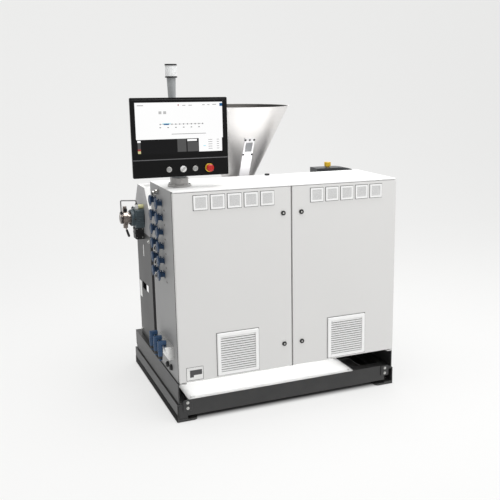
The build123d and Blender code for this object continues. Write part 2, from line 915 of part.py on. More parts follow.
# Barrel guard: a sheet tunnel with sloping shoulders, closed at the die end round the barrel
half_column = column_width / 2
guard_outline = [
    (axis_y - half_column, column_top),
    (axis_y - half_column, axis_z + guard_shoulder_rise),
    (axis_y - guard_top_width / 2, axis_z + guard_rise),
    (axis_y + guard_top_width / 2, axis_z + guard_rise),
    (axis_y + half_column, axis_z + guard_shoulder_rise),
    (axis_y + half_column, column_top),
]
with BuildPart() as guard:
    with BuildSketch(Plane.YZ.offset(column_face)):
        with BuildLine():
            Polyline(*guard_outline, close=True)
        make_face()
    extrude(amount=guard_length)
    open_faces = [guard.faces().sort_by(Axis.Z)[0], guard.faces().sort_by(Axis.X)[-1]]
    offset(amount=-guard_wall, openings=open_faces)
    with BuildSketch(Plane.YZ.offset(column_face)):
        with Locations((axis_y, axis_z)):
            Circle(guard_bore / 2)
    extrude(amount=guard_wall, mode=Mode.SUBTRACT)
save(guard, "barrel_guard")

# Barrel with its heater bands, from the die block to the feed section
band_pitch = (barrel_length - 2 * band_margin + band_gap) / band_count
with BuildPart() as barrel:
    with BuildSketch(Plane.YZ.offset(column_face)):
        with Locations((axis_y, axis_z)):
            Circle(barrel_diameter / 2)
    extrude(amount=barrel_length)
    for number in range(band_count):
        with BuildSketch(Plane.YZ.offset(column_face + band_margin + number * band_pitch)):
            with Locations((axis_y, axis_z)):
                Circle(band_diameter / 2)
        extrude(amount=band_pitch - band_gap)
save(barrel, "barrel")

# Die block with bevelled edges and a round adapter on its outer face
block_face = column_face - block_thickness
adapter_face = block_face - adapter_thickness
with BuildPart() as die_block:
    with BuildSketch(Plane.YZ.offset(column_face)):
        with Locations((axis_y, axis_z)):
            Rectangle(block_width, block_height)
    extrude(amount=-block_thickness)
    chamfer(die_block.edges().filter_by(Axis.X), block_chamfer)
    with BuildSketch(Plane.YZ.offset(block_face)):
        with Locations((axis_y, axis_z)):
            Circle(adapter_diameter / 2)
    extrude(amount=-adapter_thickness)
save(die_block, "die_block")

# Outlet pipe with its bore, seated on the adapter
with BuildPart() as outlet:
    with BuildSketch(Plane.YZ.offset(adapter_face)):
        with Locations((axis_y, axis_z)):
            Circle(outlet_diameter / 2)
            Circle(outlet_bore / 2, mode=Mode.SUBTRACT)
    extrude(amount=-outlet_length)
save(outlet, "outlet_flange")

# Clamp on the outlet: a split collar, its ears above and below, a swing bolt and a lever
collar_face = adapter_face - collar_setback
collar_middle = collar_face - collar_width / 2
ear_top = axis_z + collar_diameter / 2 + ear_height / 2
lever_top = axis_z - collar_diameter / 2 - ear_height / 2
with BuildPart() as clamp:
    with BuildSketch(Plane.YZ.offset(collar_face)):
        with Locations((axis_y, axis_z)):
            Circle(collar_diameter / 2)
            Rectangle(ear_width, collar_diameter + ear_height)
            Circle(outlet_diameter / 2 + collar_clearance, mode=Mode.SUBTRACT)
        with Locations((axis_y, ear_top)):
            Rectangle(collar_split, collar_diameter, mode=Mode.SUBTRACT)
    extrude(amount=-collar_width)
    with BuildSketch(Plane.XZ.offset(-axis_y - swing_bolt_length / 2)):
        with Locations((collar_middle, axis_z + collar_diameter / 2 + ear_height / 4)):
            Circle(swing_bolt / 2)
    extrude(amount=swing_bolt_length)
    with BuildSketch(Plane.XY.offset(ear_top)):
        with Locations((collar_middle, axis_y)):
            RegularPolygon(swing_nut / 2, 6)
    extrude(amount=swing_nut_height)
    lever_start = (collar_middle, axis_y, lever_top + lever_diameter / 2)
    lever_plane = Plane(origin=lever_start, z_dir=(0, 0, -1)).rotated((0, -lever_angle, 0))
    with BuildSketch(lever_plane):
        Circle(lever_diameter / 2)
    extrude(amount=lever_length)
save(clamp, "die_clamp")

# Melt sensor on the block: a flat head and a round cap that points to the front
block_top = axis_z + block_height / 2
sensor_x = column_face - sensor_cap_length - sensor_base[0]
sensor_y = axis_y - sensor_shift
with BuildPart() as sensor:
    with BuildSketch(Plane.XY.offset(block_top)):
        with Locations((sensor_x + sensor_base[0] / 2, sensor_y)):
            Rectangle(sensor_base[0], sensor_base[1])
    extrude(amount=sensor_base[2])
    with BuildSketch(Plane.YZ.offset(sensor_x + sensor_base[0])):
        with Locations((sensor_y, block_top + sensor_base[2] / 2)):
            Circle(sensor_cap / 2)
    extrude(amount=sensor_cap_length)
save(sensor, "melt_sensor")

# Heater connector under the block, against the column
block_bottom = axis_z - block_height / 2
with BuildPart() as connector:
    with BuildSketch(Plane.XY.offset(block_bottom)):
        with Locations((column_face - connector_length / 2, axis_y)):
            Rectangle(connector_length, connector_width)
    extrude(amount=-connector_height)
    lower_edges = connector.edges().filter_by(Axis.Y).group_by(Axis.Z)[0]
    fillet(lower_edges.sort_by(Axis.X)[0], connector_radius)
save(connector, "heater_terminal_box")

# Machine housing behind the cabinet, with rounded top and corner edges
housing_left = housing_left_inset - frame_side
housing_right = frame_side - housing_right_inset
with BuildPart() as housing:
    with BuildSketch(Plane.XY.offset(frame_top)):
        with Locations(((housing_left + housing_right) / 2, axis_y)):
            Rectangle(housing_right - housing_left, housing_width)
    extrude(amount=column_top - frame_top)
    fillet(housing.edges().filter_by(Axis.Z), housing_radius)
    fillet(housing.edges().group_by(Axis.Z)[-1], housing_radius / 2)
save(housing, "machine_housing")

# Feed section: a block with a flange on top and the round feed hole that the hopper empties into
throat_top = column_top + throat_height
with BuildPart() as throat:
    with BuildSketch(Plane.XY.offset(column_top)):
        with Locations((hopper_x, axis_y)):
            Rectangle(throat_size, throat_size)
    extrude(amount=throat_height - throat_flange_height)
    with BuildSketch(Plane.XY.offset(throat_top - throat_flange_height)):
        with Locations((hopper_x, axis_y)):
            Rectangle(throat_flange, throat_flange)
    extrude(amount=throat_flange_height)
    with BuildSketch(Plane.XY.offset(throat_top)):
        with Locations((hopper_x, axis_y)):
            Circle(hopper_neck / 2 - hopper_wall)
    extrude(amount=-throat_depth, mode=Mode.SUBTRACT)
save(throat, "feed_section")

# Hopper: a sheet cone with a flat collar on the feed section and a narrow lip round its rim
neck_radius = hopper_neck / 2
rim_radius = hopper_rim / 2
cone_radius = rim_radius - rim_lip
hopper_top = throat_top + hopper_height
hopper_axis = Axis((hopper_x, axis_y, 0), (0, 0, 1))
hopper_plane = Plane.XZ.offset(-axis_y)
with BuildPart() as hopper:
    with BuildSketch(hopper_plane):
        with BuildLine():
            Polyline(
                (hopper_x + neck_radius - hopper_wall, throat_top + hopper_collar_height),
                (hopper_x + neck_radius - hopper_wall, throat_top),
                (hopper_x + hopper_collar / 2, throat_top),
                (hopper_x + hopper_collar / 2, throat_top + hopper_collar_height),
                (hopper_x + neck_radius, throat_top + hopper_collar_height),
                (hopper_x + cone_radius, hopper_top - hopper_wall),
                (hopper_x + rim_radius, hopper_top - hopper_wall),
                (hopper_x + rim_radius, hopper_top),
                (hopper_x + cone_radius - hopper_wall, hopper_top),
                close=True,
            )
        make_face()
    revolve(axis=hopper_axis)
save(hopper, "hopper")

# Sight strip: a frame saddled on the cone's front, with a window at its upper end
cone_rise = hopper_height - hopper_wall - hopper_collar_height
cone_run = cone_radius - neck_radius
cone_length = (cone_rise**2 + cone_run**2) ** 0.5
cone_out = (0, -cone_rise / cone_length, -cone_run / cone_length)
cone_foot = (hopper_x, axis_y - neck_radius, throat_top + hopper_collar_height)
with BuildPart() as cone:
    with BuildSketch(hopper_plane):
        with BuildLine():
            Polyline(
                (hopper_x, throat_top),
                (hopper_x + neck_radius + sight_clearance, throat_top),
                (hopper_x + neck_radius + sight_clearance, throat_top + hopper_collar_height),
                (hopper_x + cone_radius + sight_clearance, hopper_top - hopper_wall),
                (hopper_x, hopper_top - hopper_wall),
                close=True,
            )
        make_face()
    revolve(axis=hopper_axis)

sight_plane = Plane(origin=cone_foot, x_dir=(1, 0, 0), z_dir=cone_out).offset(sight_proud)
window_middle = sight_low + sight_length - sight_window_inset - sight_window_length / 2
with BuildPart() as sight_strip:
    with BuildSketch(sight_plane):
        with Locations((0, sight_low + sight_length / 2)):
            RectangleRounded(sight_width, sight_length, sight_radius)
    extrude(amount=-2 * sight_proud)
    with BuildSketch(sight_plane):
        with Locations((0, window_middle)):
            Rectangle(sight_window_width, sight_window_length)
    extrude(amount=-sight_glass, mode=Mode.SUBTRACT)
    add(cone.part, mode=Mode.SUBTRACT)
save(sight_strip, "hopper_sight_strip")

# Gearbox: a cast body with a joint flange all round, two bearing caps, and a raised case at its
# front whose top falls in a rounded nose
gearbox_left = frame_side - gearbox_inset
gearbox_right = gearbox_left + gearbox_length
gearbox_front = axis_y - gearbox_width / 2
joint_bottom = column_top + gearbox_flange_rise
joint_top = joint_bottom + gearbox_flange_height
case_front = gearbox_front - case_proud
case_top = column_top + case_height
with BuildPart() as gearbox:
    with BuildSketch(Plane.XY.offset(column_top)):
        with Locations((gearbox_left + gearbox_length / 2, axis_y)):
            RectangleRounded(gearbox_length, gearbox_width, gearbox_radius)
    extrude(amount=gearbox_height)
    chamfer(gearbox.edges().group_by(Axis.Z)[-1], gearbox_radius / 2)
    with BuildSketch(Plane.XY.offset(joint_bottom)):
        with Locations((gearbox_left + gearbox_length / 2, axis_y)):
            Rectangle(gearbox_length + 2 * gearbox_flange, gearbox_width + 2 * gearbox_flange)
    extrude(amount=gearbox_flange_height)
    with BuildSketch(Plane.XZ.offset(-case_front - case_width)):
        with BuildLine():
            Polyline(
                (gearbox_right, case_top - case_nose_drop),
                (gearbox_right, joint_top),
                (gearbox_left, joint_top),
                (gearbox_left, case_top),
                (gearbox_right - case_nose, case_top),
            )
            nose_centre = (gearbox_right - case_nose, case_top - case_nose_drop)
            EllipticalCenterArc(nose_centre, case_nose, case_nose_drop, start_angle=0, arc_size=90)
        make_face()
    extrude(amount=case_width)
    with BuildSketch(Plane.YZ.offset(gearbox_right)):
        with Locations((axis_y - cap_spread / 2, joint_bottom), (axis_y + cap_spread / 2, joint_bottom)):
            Circle(cap_diameter / 2)
    extrude(amount=cap_height)
save(gearbox, "gearbox")

# Breather on the gearbox: a neck and a wider cap
breather_x = gearbox_left + breather_inset
breather_y = case_front + breather_setback
with BuildPart() as breather:
    with BuildSketch(Plane.XY.offset(case_top)):
        with Locations((breather_x, breather_y)):
            Circle(breather_neck / 2)
    extrude(amount=breather_height / 2)
    with BuildSketch(Plane.XY.offset(case_top + breather_height / 4)):
        with Locations((breather_x, breather_y)):
            RegularPolygon(breather_diameter / 2, 8)
    extrude(amount=breather_height)
save(breather, "gearbox_breather")

# Plug in the lifting hole of the roof
with BuildPart() as roof_plug:
    with BuildSketch(Plane.XY.offset(cabinet_top)):
        with Locations((roof_plug_x, cabinet_back - roof_plug_setback)):
            Circle(roof_plug_diameter / 2)
    extrude(amount=roof_plug_height)
save(roof_plug, "roof_plug")
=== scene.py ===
import bpy
import bmesh
import math
from itertools import product
from mathutils import Matrix, Vector


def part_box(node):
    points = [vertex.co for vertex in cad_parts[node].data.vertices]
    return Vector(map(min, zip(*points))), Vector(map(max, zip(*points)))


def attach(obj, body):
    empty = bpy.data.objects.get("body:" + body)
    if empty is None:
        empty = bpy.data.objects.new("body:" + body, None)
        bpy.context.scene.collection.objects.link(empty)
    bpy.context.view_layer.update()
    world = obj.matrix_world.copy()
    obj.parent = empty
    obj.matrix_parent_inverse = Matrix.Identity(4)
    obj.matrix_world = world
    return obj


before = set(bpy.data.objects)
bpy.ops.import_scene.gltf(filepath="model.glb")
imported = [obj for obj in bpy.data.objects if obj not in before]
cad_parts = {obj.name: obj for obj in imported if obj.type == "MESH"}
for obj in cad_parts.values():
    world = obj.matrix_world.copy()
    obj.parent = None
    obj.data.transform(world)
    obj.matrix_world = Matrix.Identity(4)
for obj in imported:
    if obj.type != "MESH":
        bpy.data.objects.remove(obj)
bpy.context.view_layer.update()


# Base frame: channel rails and beams of rolled steel on four foot plates, with splice plates.
# It is welded, bolted at the splices and painted satin dark grey. The paint is rubbed through
# on its outer edges, and dust lies on the parts near the floor.
def shader_group(name, inputs, outputs):
    """An empty shader node group with named sockets: its tree, its input node and its output node."""
    tree = bpy.data.node_groups.new(name, "ShaderNodeTree")
    for label, value in inputs.items():
        kind = "NodeSocketVector" if isinstance(value, tuple) else "NodeSocketFloat"
        socket = tree.interface.new_socket(name=label, in_out="INPUT", socket_type=kind)
        socket.default_value = value
    for label in outputs:
        kind = "NodeSocketVector" if label == "Normal" else "NodeSocketFloat"
        tree.interface.new_socket(name=label, in_out="OUTPUT", socket_type=kind)
    return tree, tree.nodes.new("NodeGroupInput").outputs, tree.nodes.new("NodeGroupOutput").inputs


def feed(tree, value, socket):
    """Links a socket to another one, or sets it where the value is plain."""
    if isinstance(value, bpy.types.NodeSocket):
        tree.links.new(value, socket)
    else:
        socket.default_value = value


def math_node(tree, operation, *values):
    node = tree.nodes.new("ShaderNodeMath")
    node.operation = operation
    for index, value in enumerate(values):
        feed(tree, value, node.inputs[index])
    return node.outputs[0]


def vector_node(tree, operation, first, second):
    node = tree.nodes.new("ShaderNodeVectorMath")
    node.operation = operation
    feed(tree, first, node.inputs[0])
    feed(tree, second, node.inputs[1])
    return node.outputs["Value" if operation == "DOT_PRODUCT" else "Vector"]


def noise_node(tree, position, scale, detail):
    node = tree.nodes.new("ShaderNodeTexNoise")
    feed(tree, position, node.inputs["Vector"])
    feed(tree, scale, node.inputs["Scale"])
    feed(tree, detail, node.inputs["Detail"])
    return node.outputs[0]


def object_place(tree):
    return tree.nodes.new("ShaderNodeTexCoord").outputs["Object"]


def build_rubbed_edges():
    """Rounds the look of hard edges and marks where paint is rubbed off along them."""
    tree, given, result = shader_group("rubbed_edges", {"Radius": 0.002, "Amount": 0.5}, ["Normal", "Mask"])
    patch_scale, patch_detail, patch_contrast, mask_gain = 38.0, 4.0, 2.5, 30.0
    bevel = tree.nodes.new("ShaderNodeBevel")
    bevel.samples = 4
    feed(tree, given["Radius"], bevel.inputs["Radius"])
    surface = tree.nodes.new("ShaderNodeNewGeometry")
    facing = vector_node(tree, "DOT_PRODUCT", bevel.outputs[0], surface.outputs["Normal"])
    bend = math_node(tree, "SUBTRACT", 1.0, facing)
    patches = noise_node(tree, object_place(tree), patch_scale, patch_detail)
    broken = math_node(tree, "POWER", patches, patch_contrast)
    rubbed = math_node(tree, "MULTIPLY", math_node(tree, "MULTIPLY", bend, broken), mask_gain)
    mask = math_node(tree, "MULTIPLY", rubbed, given["Amount"])
    feed(tree, bevel.outputs[0], result["Normal"])
    feed(tree, math_node(tree, "MINIMUM", mask, 1.0), result["Mask"])
    return tree


def build_paint_grain():
    """The fine orange peel of paint, and slow patches where its tone changes."""
    tree, given, result = shader_group("paint_grain", {"Grain Size": 400.0, "Patch Size": 3.0},
                                       ["Height", "Patches"])
    place = object_place(tree)
    grain_detail, patch_detail = 2.0, 3.0
    feed(tree, noise_node(tree, place, given["Grain Size"], grain_detail), result["Height"])
    feed(tree, noise_node(tree, place, given["Patch Size"], patch_detail), result["Patches"])
    return tree


def build_settled_dust():
    """Dust that lies on upward faces and rises a little way up from the floor."""
    tree, given, result = shader_group("settled_dust", {"Rise": 0.25, "Amount": 0.3}, ["Mask"])
    top_share, cloud_scale, cloud_detail, cloud_gain = 0.5, 9.0, 5.0, 1.6
    surface = tree.nodes.new("ShaderNodeNewGeometry")
    normal = tree.nodes.new("ShaderNodeSeparateXYZ")
    feed(tree, surface.outputs["Normal"], normal.inputs[0])
    place = tree.nodes.new("ShaderNodeSeparateXYZ")
    feed(tree, surface.outputs["Position"], place.inputs[0])
    upward_part = math_node(tree, "MAXIMUM", normal.outputs["Z"], 0.0)
    height = math_node(tree, "DIVIDE", place.outputs["Z"], given["Rise"])
    near_floor = math_node(tree, "MAXIMUM", math_node(tree, "SUBTRACT", 1.0, height), 0.0)
    both = math_node(tree, "ADD", math_node(tree, "MULTIPLY", upward_part, top_share), near_floor)
    cloud = noise_node(tree, surface.outputs["Position"], cloud_scale, cloud_detail)
    spread_out = math_node(tree, "MULTIPLY", both, math_node(tree, "MULTIPLY", cloud, cloud_gain))
    mask = math_node(tree, "MULTIPLY", spread_out, given["Amount"])
    feed(tree, math_node(tree, "MINIMUM", mask, 1.0), result["Mask"])
    return tree


def use_group(tree, group, **values):
    """Places an effect group in a material with its own values, and gives its outputs."""
    node = tree.nodes.new("ShaderNodeGroup")
    node.node_tree = group
    for label, value in values.items():
        node.inputs[label.replace("_", " ")].default_value = value
    return node.outputs


def blend_colour(tree, factor, first, second):
    """Mixes two colours, each a socket or a plain (red, green, blue)."""
    mix = tree.nodes.new("ShaderNodeMix")
    mix.data_type = "RGBA"
    feed(tree, factor, mix.inputs["Factor"])
    for socket, colour in ((mix.inputs[6], first), (mix.inputs[7], second)):
        feed(tree, (*colour, 1.0) if isinstance(colour, tuple) else colour, socket)
    return mix.outputs[2]


def shaded(colour, factor):
    """The same colour, lighter or darker."""
    return tuple(min(1.0, part * factor) for part in colour)


def new_material(name):
    """A material, its node tree and its shader's inputs."""
    material = bpy.data.materials.new(name)
    material.use_nodes = True
    tree = material.node_tree
    return material, tree, tree.nodes["Principled BSDF"].inputs


def set_relief(tree, height, distance, strength, edge_normal):
    """Raises the surface by a height, over the rounded look of its edges."""
    relief = tree.nodes.new("ShaderNodeBump")
    relief.inputs["Strength"].default_value = strength
    relief.inputs["Distance"].default_value = distance
    feed(tree, height, relief.inputs["Height"])
    feed(tree, edge_normal, relief.inputs["Normal"])
    feed(tree, relief.outputs["Normal"], tree.nodes["Principled BSDF"].inputs["Normal"])


rubbed_edges = build_rubbed_edges()
paint_grain = build_paint_grain()
settled_dust = build_settled_dust()
dust_colour = (0.42, 0.40, 0.37)


def coated(name, colour, rough, grain=450.0, bump=0.00006, patch=0.06, worn=None, wear=0.0, dust=0.0,
           edge=0.0015, shine=0.5):
    """Paint, powder coat or moulded plastic: grain, patches of tone, rubbed edges and settled dust."""
    material, tree, skin = new_material(name)
    skin["Specular IOR Level"].default_value = shine
    fine = use_group(tree, paint_grain, Grain_Size=grain)
    edges = use_group(tree, rubbed_edges, Radius=edge, Amount=wear)
    tone = blend_colour(tree, fine["Patches"], shaded(colour, 1 - patch), shaded(colour, 1 + patch))
    if worn:
        tone = blend_colour(tree, edges["Mask"], tone, worn)
    if dust:
        tone = blend_colour(tree, use_group(tree, settled_dust, Amount=dust)["Mask"], tone, dust_colour)
    feed(tree, tone, skin["Base Color"])
    rough_span, relief_strength = 0.16, 0.6
    gloss = math_node(tree, "MULTIPLY_ADD", fine["Patches"], rough_span, rough - rough_span / 2)
    feed(tree, gloss, skin["Roughness"])
    set_relief(tree, fine["Height"], bump, relief_strength, edges["Normal"])
    return material


def dress(material, *nodes):
    """Gives CAD nodes their material."""
    for node in nodes:
        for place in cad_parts[node].material_slots:
            place.material = material


frame_paint = coated("frame_paint", (0.018, 0.0185, 0.0195), 0.42, worn=(0.2, 0.2, 0.205), wear=0.25,
                     dust=0.05)
dress(frame_paint, "base_rails", "base_beams", "foot_plates", "splice_plates", "frame_channels",
      "cross_members")


# Frame bolts: zinc-plated hexagon bolts on round washers, two through the middle of each splice
# plate. They draw the front and rear beams against the rails.
def build_brushed_lines():
    """The fine lines that brushing or drawing leaves on bare metal, and slow streaks of tone."""
    tree, given, result = shader_group("brushed_lines", {"Stretch": (40.0, 40.0, 900.0)},
                                       ["Height", "Streaks"])
    stretched = vector_node(tree, "MULTIPLY", object_place(tree), given["Stretch"])
    line_scale, line_detail, streak_scale, streak_detail = 1.0, 3.0, 0.12, 4.0
    feed(tree, noise_node(tree, stretched, line_scale, line_detail), result["Height"])
    feed(tree, noise_node(tree, stretched, streak_scale, streak_detail), result["Streaks"])
    return tree


brushed_lines = build_brushed_lines()


def bright(name, colour, rough, stretch=(40.0, 40.0, 900.0), bump=0.00002, edge=0.0008, tint=0.08, metal=1.0):
    """Bare metal: drawn or brushed lines that run across the stretched direction."""
    material, tree, skin = new_material(name)
    skin["Metallic"].default_value = metal
    lines = use_group(tree, brushed_lines, Stretch=stretch)
    edges = use_group(tree, rubbed_edges, Radius=edge, Amount=0.0)
    tone = blend_colour(tree, lines["Streaks"], shaded(colour, 1 - tint), shaded(colour, 1 + tint))
    feed(tree, tone, skin["Base Color"])
    rough_span, relief_strength = 0.2, 0.5
    gloss = math_node(tree, "MULTIPLY_ADD", lines["Height"], rough_span, rough - rough_span / 2)
    feed(tree, gloss, skin["Roughness"])
    set_relief(tree, lines["Height"], bump, relief_strength, edges["Normal"])
    return material


def turned(shape, centre, axis, profile, sides):
    """Adds a turned form: the profile is (radius, distance along the axis) pairs, from end to end."""
    along = Vector(axis).normalized()
    across = along.orthogonal().normalized()
    beside = along.cross(across)
    rings = []
    for radius, distance in profile:
        middle = Vector(centre) + along * distance
        ring = []
        for number in range(sides if radius else 1):
            angle = 2 * math.pi * number / sides
            spoke = math.cos(angle) * across + math.sin(angle) * beside
            ring.append(shape.verts.new(middle + radius * spoke))
        rings.append(ring)
    for first, second in zip(rings, rings[1:]):
        for number in range(sides):
            after = (number + 1) % sides
            corners = [first[number % len(first)], first[after % len(first)]]
            corners += [second[after % len(second)], second[number % len(second)]]
            shape.faces.new(list(dict.fromkeys(corners)))
    for ring in (rings[0], rings[-1]):
        if len(ring) > 1:
            shape.faces.new(ring)


def hexagon_bolt(shape, centre, axis, across_flats):
    """Adds a hexagon head with its chamfer on a round washer."""
    corner = across_flats / math.sqrt(3)
    washer = 0.11 * across_flats
    head = washer + 0.62 * across_flats
    turned(shape, centre, axis, [(0.98 * across_flats, 0), (0.98 * across_flats, washer)], 20)
    head_profile = [(corner, washer), (corner, head - 0.1 * across_flats), (0.84 * corner, head)]
    turned(shape, centre, axis, head_profile, 6)


def spread(first, last, margin, count=2):
    """Even steps between two ends, kept a margin inside them."""
    step = (last - first - 2 * margin) / (count - 1)
    return [first + margin + number * step for number in range(count)]


def fasten(shape, kind, columns, rows, levels, axis, size):
    """Sets one kind of screw or bolt wherever the given columns (x), rows (y) and levels (z) cross."""
    for spot in product(columns, rows, levels):
        kind(shape, spot, axis, size)


def finish_piece(name, shape, material, body="frame"):
    """Turns a built shape into a piece that rides on a body and takes its finish from a slot."""
    mesh, sharp_degrees = bpy.data.meshes.new(name), 32
    bmesh.ops.recalc_face_normals(shape, faces=shape.faces)
    shape.to_mesh(mesh)
    shape.free()
    mesh.shade_smooth()
    mesh.set_sharp_from_angle(angle=math.radians(sharp_degrees))
    mesh.materials.append(material)
    piece = bpy.data.objects.new(name, mesh)
    bpy.context.scene.collection.objects.link(piece)
    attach(piece, body)


zinc = bright("zinc_plate", (0.62, 0.62, 0.60), 0.34)


def finish_zinc(name, shape, body="frame"):
    finish_piece(name, shape, zinc, body)


forward, backward = (0, -1, 0), (0, 1, 0)
frame_bolts = bmesh.new()
splice_bolt, splice_inset_x, splice_inset_z = 0.009, 0.026, 0.0165
splice_low, splice_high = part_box("splice_plates")
splice_columns = spread(splice_low.x, splice_high.x, splice_inset_x)
splice_levels = spread(splice_low.z, splice_high.z, splice_inset_z)
fasten(frame_bolts, hexagon_bolt, splice_columns, [splice_low.y], splice_levels, forward, splice_bolt)
fasten(frame_bolts, hexagon_bolt, splice_columns, [splice_high.y], splice_levels, backward, splice_bolt)
finish_zinc("frame_bolts", frame_bolts)


# Anchor bolts: one zinc-plated stud with washer and nut stands in each foot plate's hole.
# The nut is tightened down on the foot plate, inside the channel of the base rail.
upward = (0, 0, 1)
anchors = bmesh.new()
anchor_x, anchor_y, anchor_nut = 0.61, 0.4275, 0.024
stud_length, stud_radius, stud_chamfer = 0.048, 0.0078, 0.002
stud = [(stud_radius, 0), (stud_radius, stud_length - stud_chamfer), (0.75 * stud_radius, stud_length)]
foot_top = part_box("foot_plates")[1].z
for foot_point in product((-anchor_x, anchor_x), (-anchor_y, anchor_y), (foot_top,)):
    hexagon_bolt(anchors, foot_point, upward, anchor_nut)
    turned(anchors, foot_point, upward, stud, 16)
finish_zinc("anchor_bolts", anchors)


# Rubber strips: two long strips of matt black rubber lie between the base rails and the machine
# frame, and damp what the gearbox passes down.
rubber = coated("strip_rubber", (0.014, 0.014, 0.014), 0.8, grain=260.0, bump=0.00015, dust=0.25, edge=0.0006)
dress(rubber, "rubber_strips")


# Rail strips: a matt black strip along the lower edge of each base rail's outer face. It is painted
# shadow: it darkens the rail's foot where shade falls between the rail and the floor.
def slab(shape, first, second, bevel=0.0):
    """Adds a block between two corners, its edges bevelled."""
    lowest = Vector(map(min, first, second))
    size = Vector(map(max, first, second)) - lowest
    place = Matrix.Translation(lowest + size / 2) @ Matrix.Diagonal((*size, 1.0))
    made = bmesh.ops.create_cube(shape, size=1.0, matrix=place)["verts"]
    if bevel:
        edges = list(dict.fromkeys(edge for vertex in made for edge in vertex.link_edges))
        bmesh.ops.bevel(shape, geom=edges, offset=bevel, segments=2, profile=0.6, affect="EDGES")


# Painted shade: this black stands for the shade at the rails' foot and in the cabinet's door gap.
rubber_black_and_shade = coated("rubber_black_and_shade", (0.006, 0.006, 0.006), 0.7, grain=260.0, edge=0.0006, shine=0.12)
rail_shadow_strips = bmesh.new()
strip_bottom, strip_top, strip_thickness, strip_inset = 0.0006, 0.044, 0.0018, 0.002
rails_low, rails_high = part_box("base_rails")
for side, face_x in ((-1, rails_low.x), (1, rails_high.x)):
    slab(rail_shadow_strips, (face_x, rails_low.y + strip_inset, strip_bottom),
         (face_x + side * strip_thickness, rails_high.y - strip_inset, strip_top), 0.0008)
finish_piece("rail_shadow_strips", rail_shadow_strips, rubber_black_and_shade)


# Rail end plate: a steel plate welded in the front end of the left base rail. It closes the open
# channel at the machine's working corner and is painted with the frame.
rail_end_plate = bmesh.new()
rail_wall, rail_flange, end_setback, end_thickness = 0.006, 0.060, 0.001, 0.004
web_gap, flange_gap, joint_gap = 0.0025, 0.0012, 0.0005
end_front = rails_low.y + end_setback
end_bottom, end_top = spread(rails_low.z, rails_high.z, rail_wall + flange_gap)
slab(rail_end_plate, (rails_low.x + rail_wall + web_gap, end_front, end_bottom),
     (rails_low.x + rail_flange - joint_gap, end_front + end_thickness, end_top), 0.0008)
finish_piece("rail_end_plate", rail_end_plate, frame_paint)


# Drip tray: one sheet of pale coated steel, easy to wipe clean, under the cabinet. It lies on the
# front and middle base beams and is screwed down at its corners.
def pan_screw(shape, centre, axis, diameter):
    """Adds a low domed screw head with a sunk round drive."""
    radius = diameter / 2
    dome = [(1, 0), (1, 0.25), (0.85, 0.5), (0.5, 0.68), (0.42, 0.68), (0.36, 0.3)]
    turned(shape, centre, axis, [(share * radius, rise * radius) for share, rise in dome], 14)


tray_white = coated("tray_white", (0.85, 0.85, 0.84), 0.35, patch=0.02, dust=0.04, edge=0.0005)
dress(tray_white, "drip_tray")
tray_screws = bmesh.new()
tray_screw, tray_inset = 0.011, 0.022
tray_low, tray_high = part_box("drip_tray")
tray_columns = spread(tray_low.x, tray_high.x, tray_inset)
tray_rows = spread(tray_low.y, tray_high.y, tray_inset)
fasten(tray_screws, pan_screw, tray_columns, tray_rows, [tray_high.z], upward, tray_screw)
finish_zinc("tray_screws", tray_screws)


# Control cabinet: folded steel sheet, powder coated with a fine texture. Its walls are darker grey as
# painted shade and its roof paler as painted light, the post between the doors is paler than the walls,
# and screws close it along the back.
def powder_coated(name, colour, patch):
    return coated(name, colour, 0.5, grain=900.0, bump=0.0001, patch=patch, edge=0.0018)


# The cabinet has one coat: the walls' darker grey is painted shade and the roof's paler tone painted light.
cabinet_coat = powder_coated("cabinet_coat", (0.725, 0.72, 0.71), 0.015)
lit_roof_coat = powder_coated("lit_roof_coat", (0.86, 0.86, 0.85), 0.015)
shaded_wall_coat = powder_coated("shaded_wall_coat", (0.31, 0.31, 0.31), 0.03)
dress(shaded_wall_coat, "cabinet_side_walls", "cabinet_back_wall", "cabinet_floor")
dress(cabinet_coat, "cabinet_post")
dress(lit_roof_coat, "cabinet_roof")
rear_screws = bmesh.new()
wall_screw, wall_inset, row_margin, level_margin = 0.010, 0.012, 0.04, 0.014
wall_low, wall_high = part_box("cabinet_side_walls")
side_count, end_count = 6, 5
side_columns = spread(wall_low.x, wall_high.x, wall_inset)
side_levels = spread(wall_low.z, wall_high.z, row_margin, side_count)
end_columns = spread(wall_low.x, wall_high.x, 0, end_count)[1:-1]
end_levels = spread(wall_low.z, wall_high.z, level_margin)
fasten(rear_screws, pan_screw, side_columns, [wall_high.y], side_levels, backward, wall_screw)
fasten(rear_screws, pan_screw, end_columns, [wall_high.y], end_levels, backward, wall_screw)
finish_zinc("rear_wall_screws", rear_screws)


# Mounting plate: the zinc-plated plate inside the cabinet that carries its switchgear.
# It shows only while a door stands open, and hangs on four spacers off the back wall.
mounting_plate = bmesh.new()
plate_gap, plate_margin, plate_sheet = 0.030, 0.070, 0.003
spacer_radius, spacer_inset = 0.008, 0.05
back_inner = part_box("cabinet_back_wall")[0].y
plate_sides = spread(wall_low.x, wall_high.x, plate_margin)
plate_ends = spread(wall_low.z, wall_high.z, plate_margin)
slab(mounting_plate, (plate_sides[0], back_inner - plate_gap, plate_ends[0]),
     (plate_sides[1], back_inner - plate_gap - plate_sheet, plate_ends[1]), 0.0008)
for spot in product(spread(*plate_sides, spacer_inset), [back_inner], spread(*plate_ends, spacer_inset)):
    turned(mounting_plate, spot, forward, [(spacer_radius, 0), (spacer_radius, plate_gap)], 16)
finish_zinc("mounting_plate", mounting_plate)


# Door pivots: turned steel pins on small plates, welded to the cabinet's floor edge and roof and
# painted like the doors that hang on them.
dress(cabinet_coat, "door_pivots")


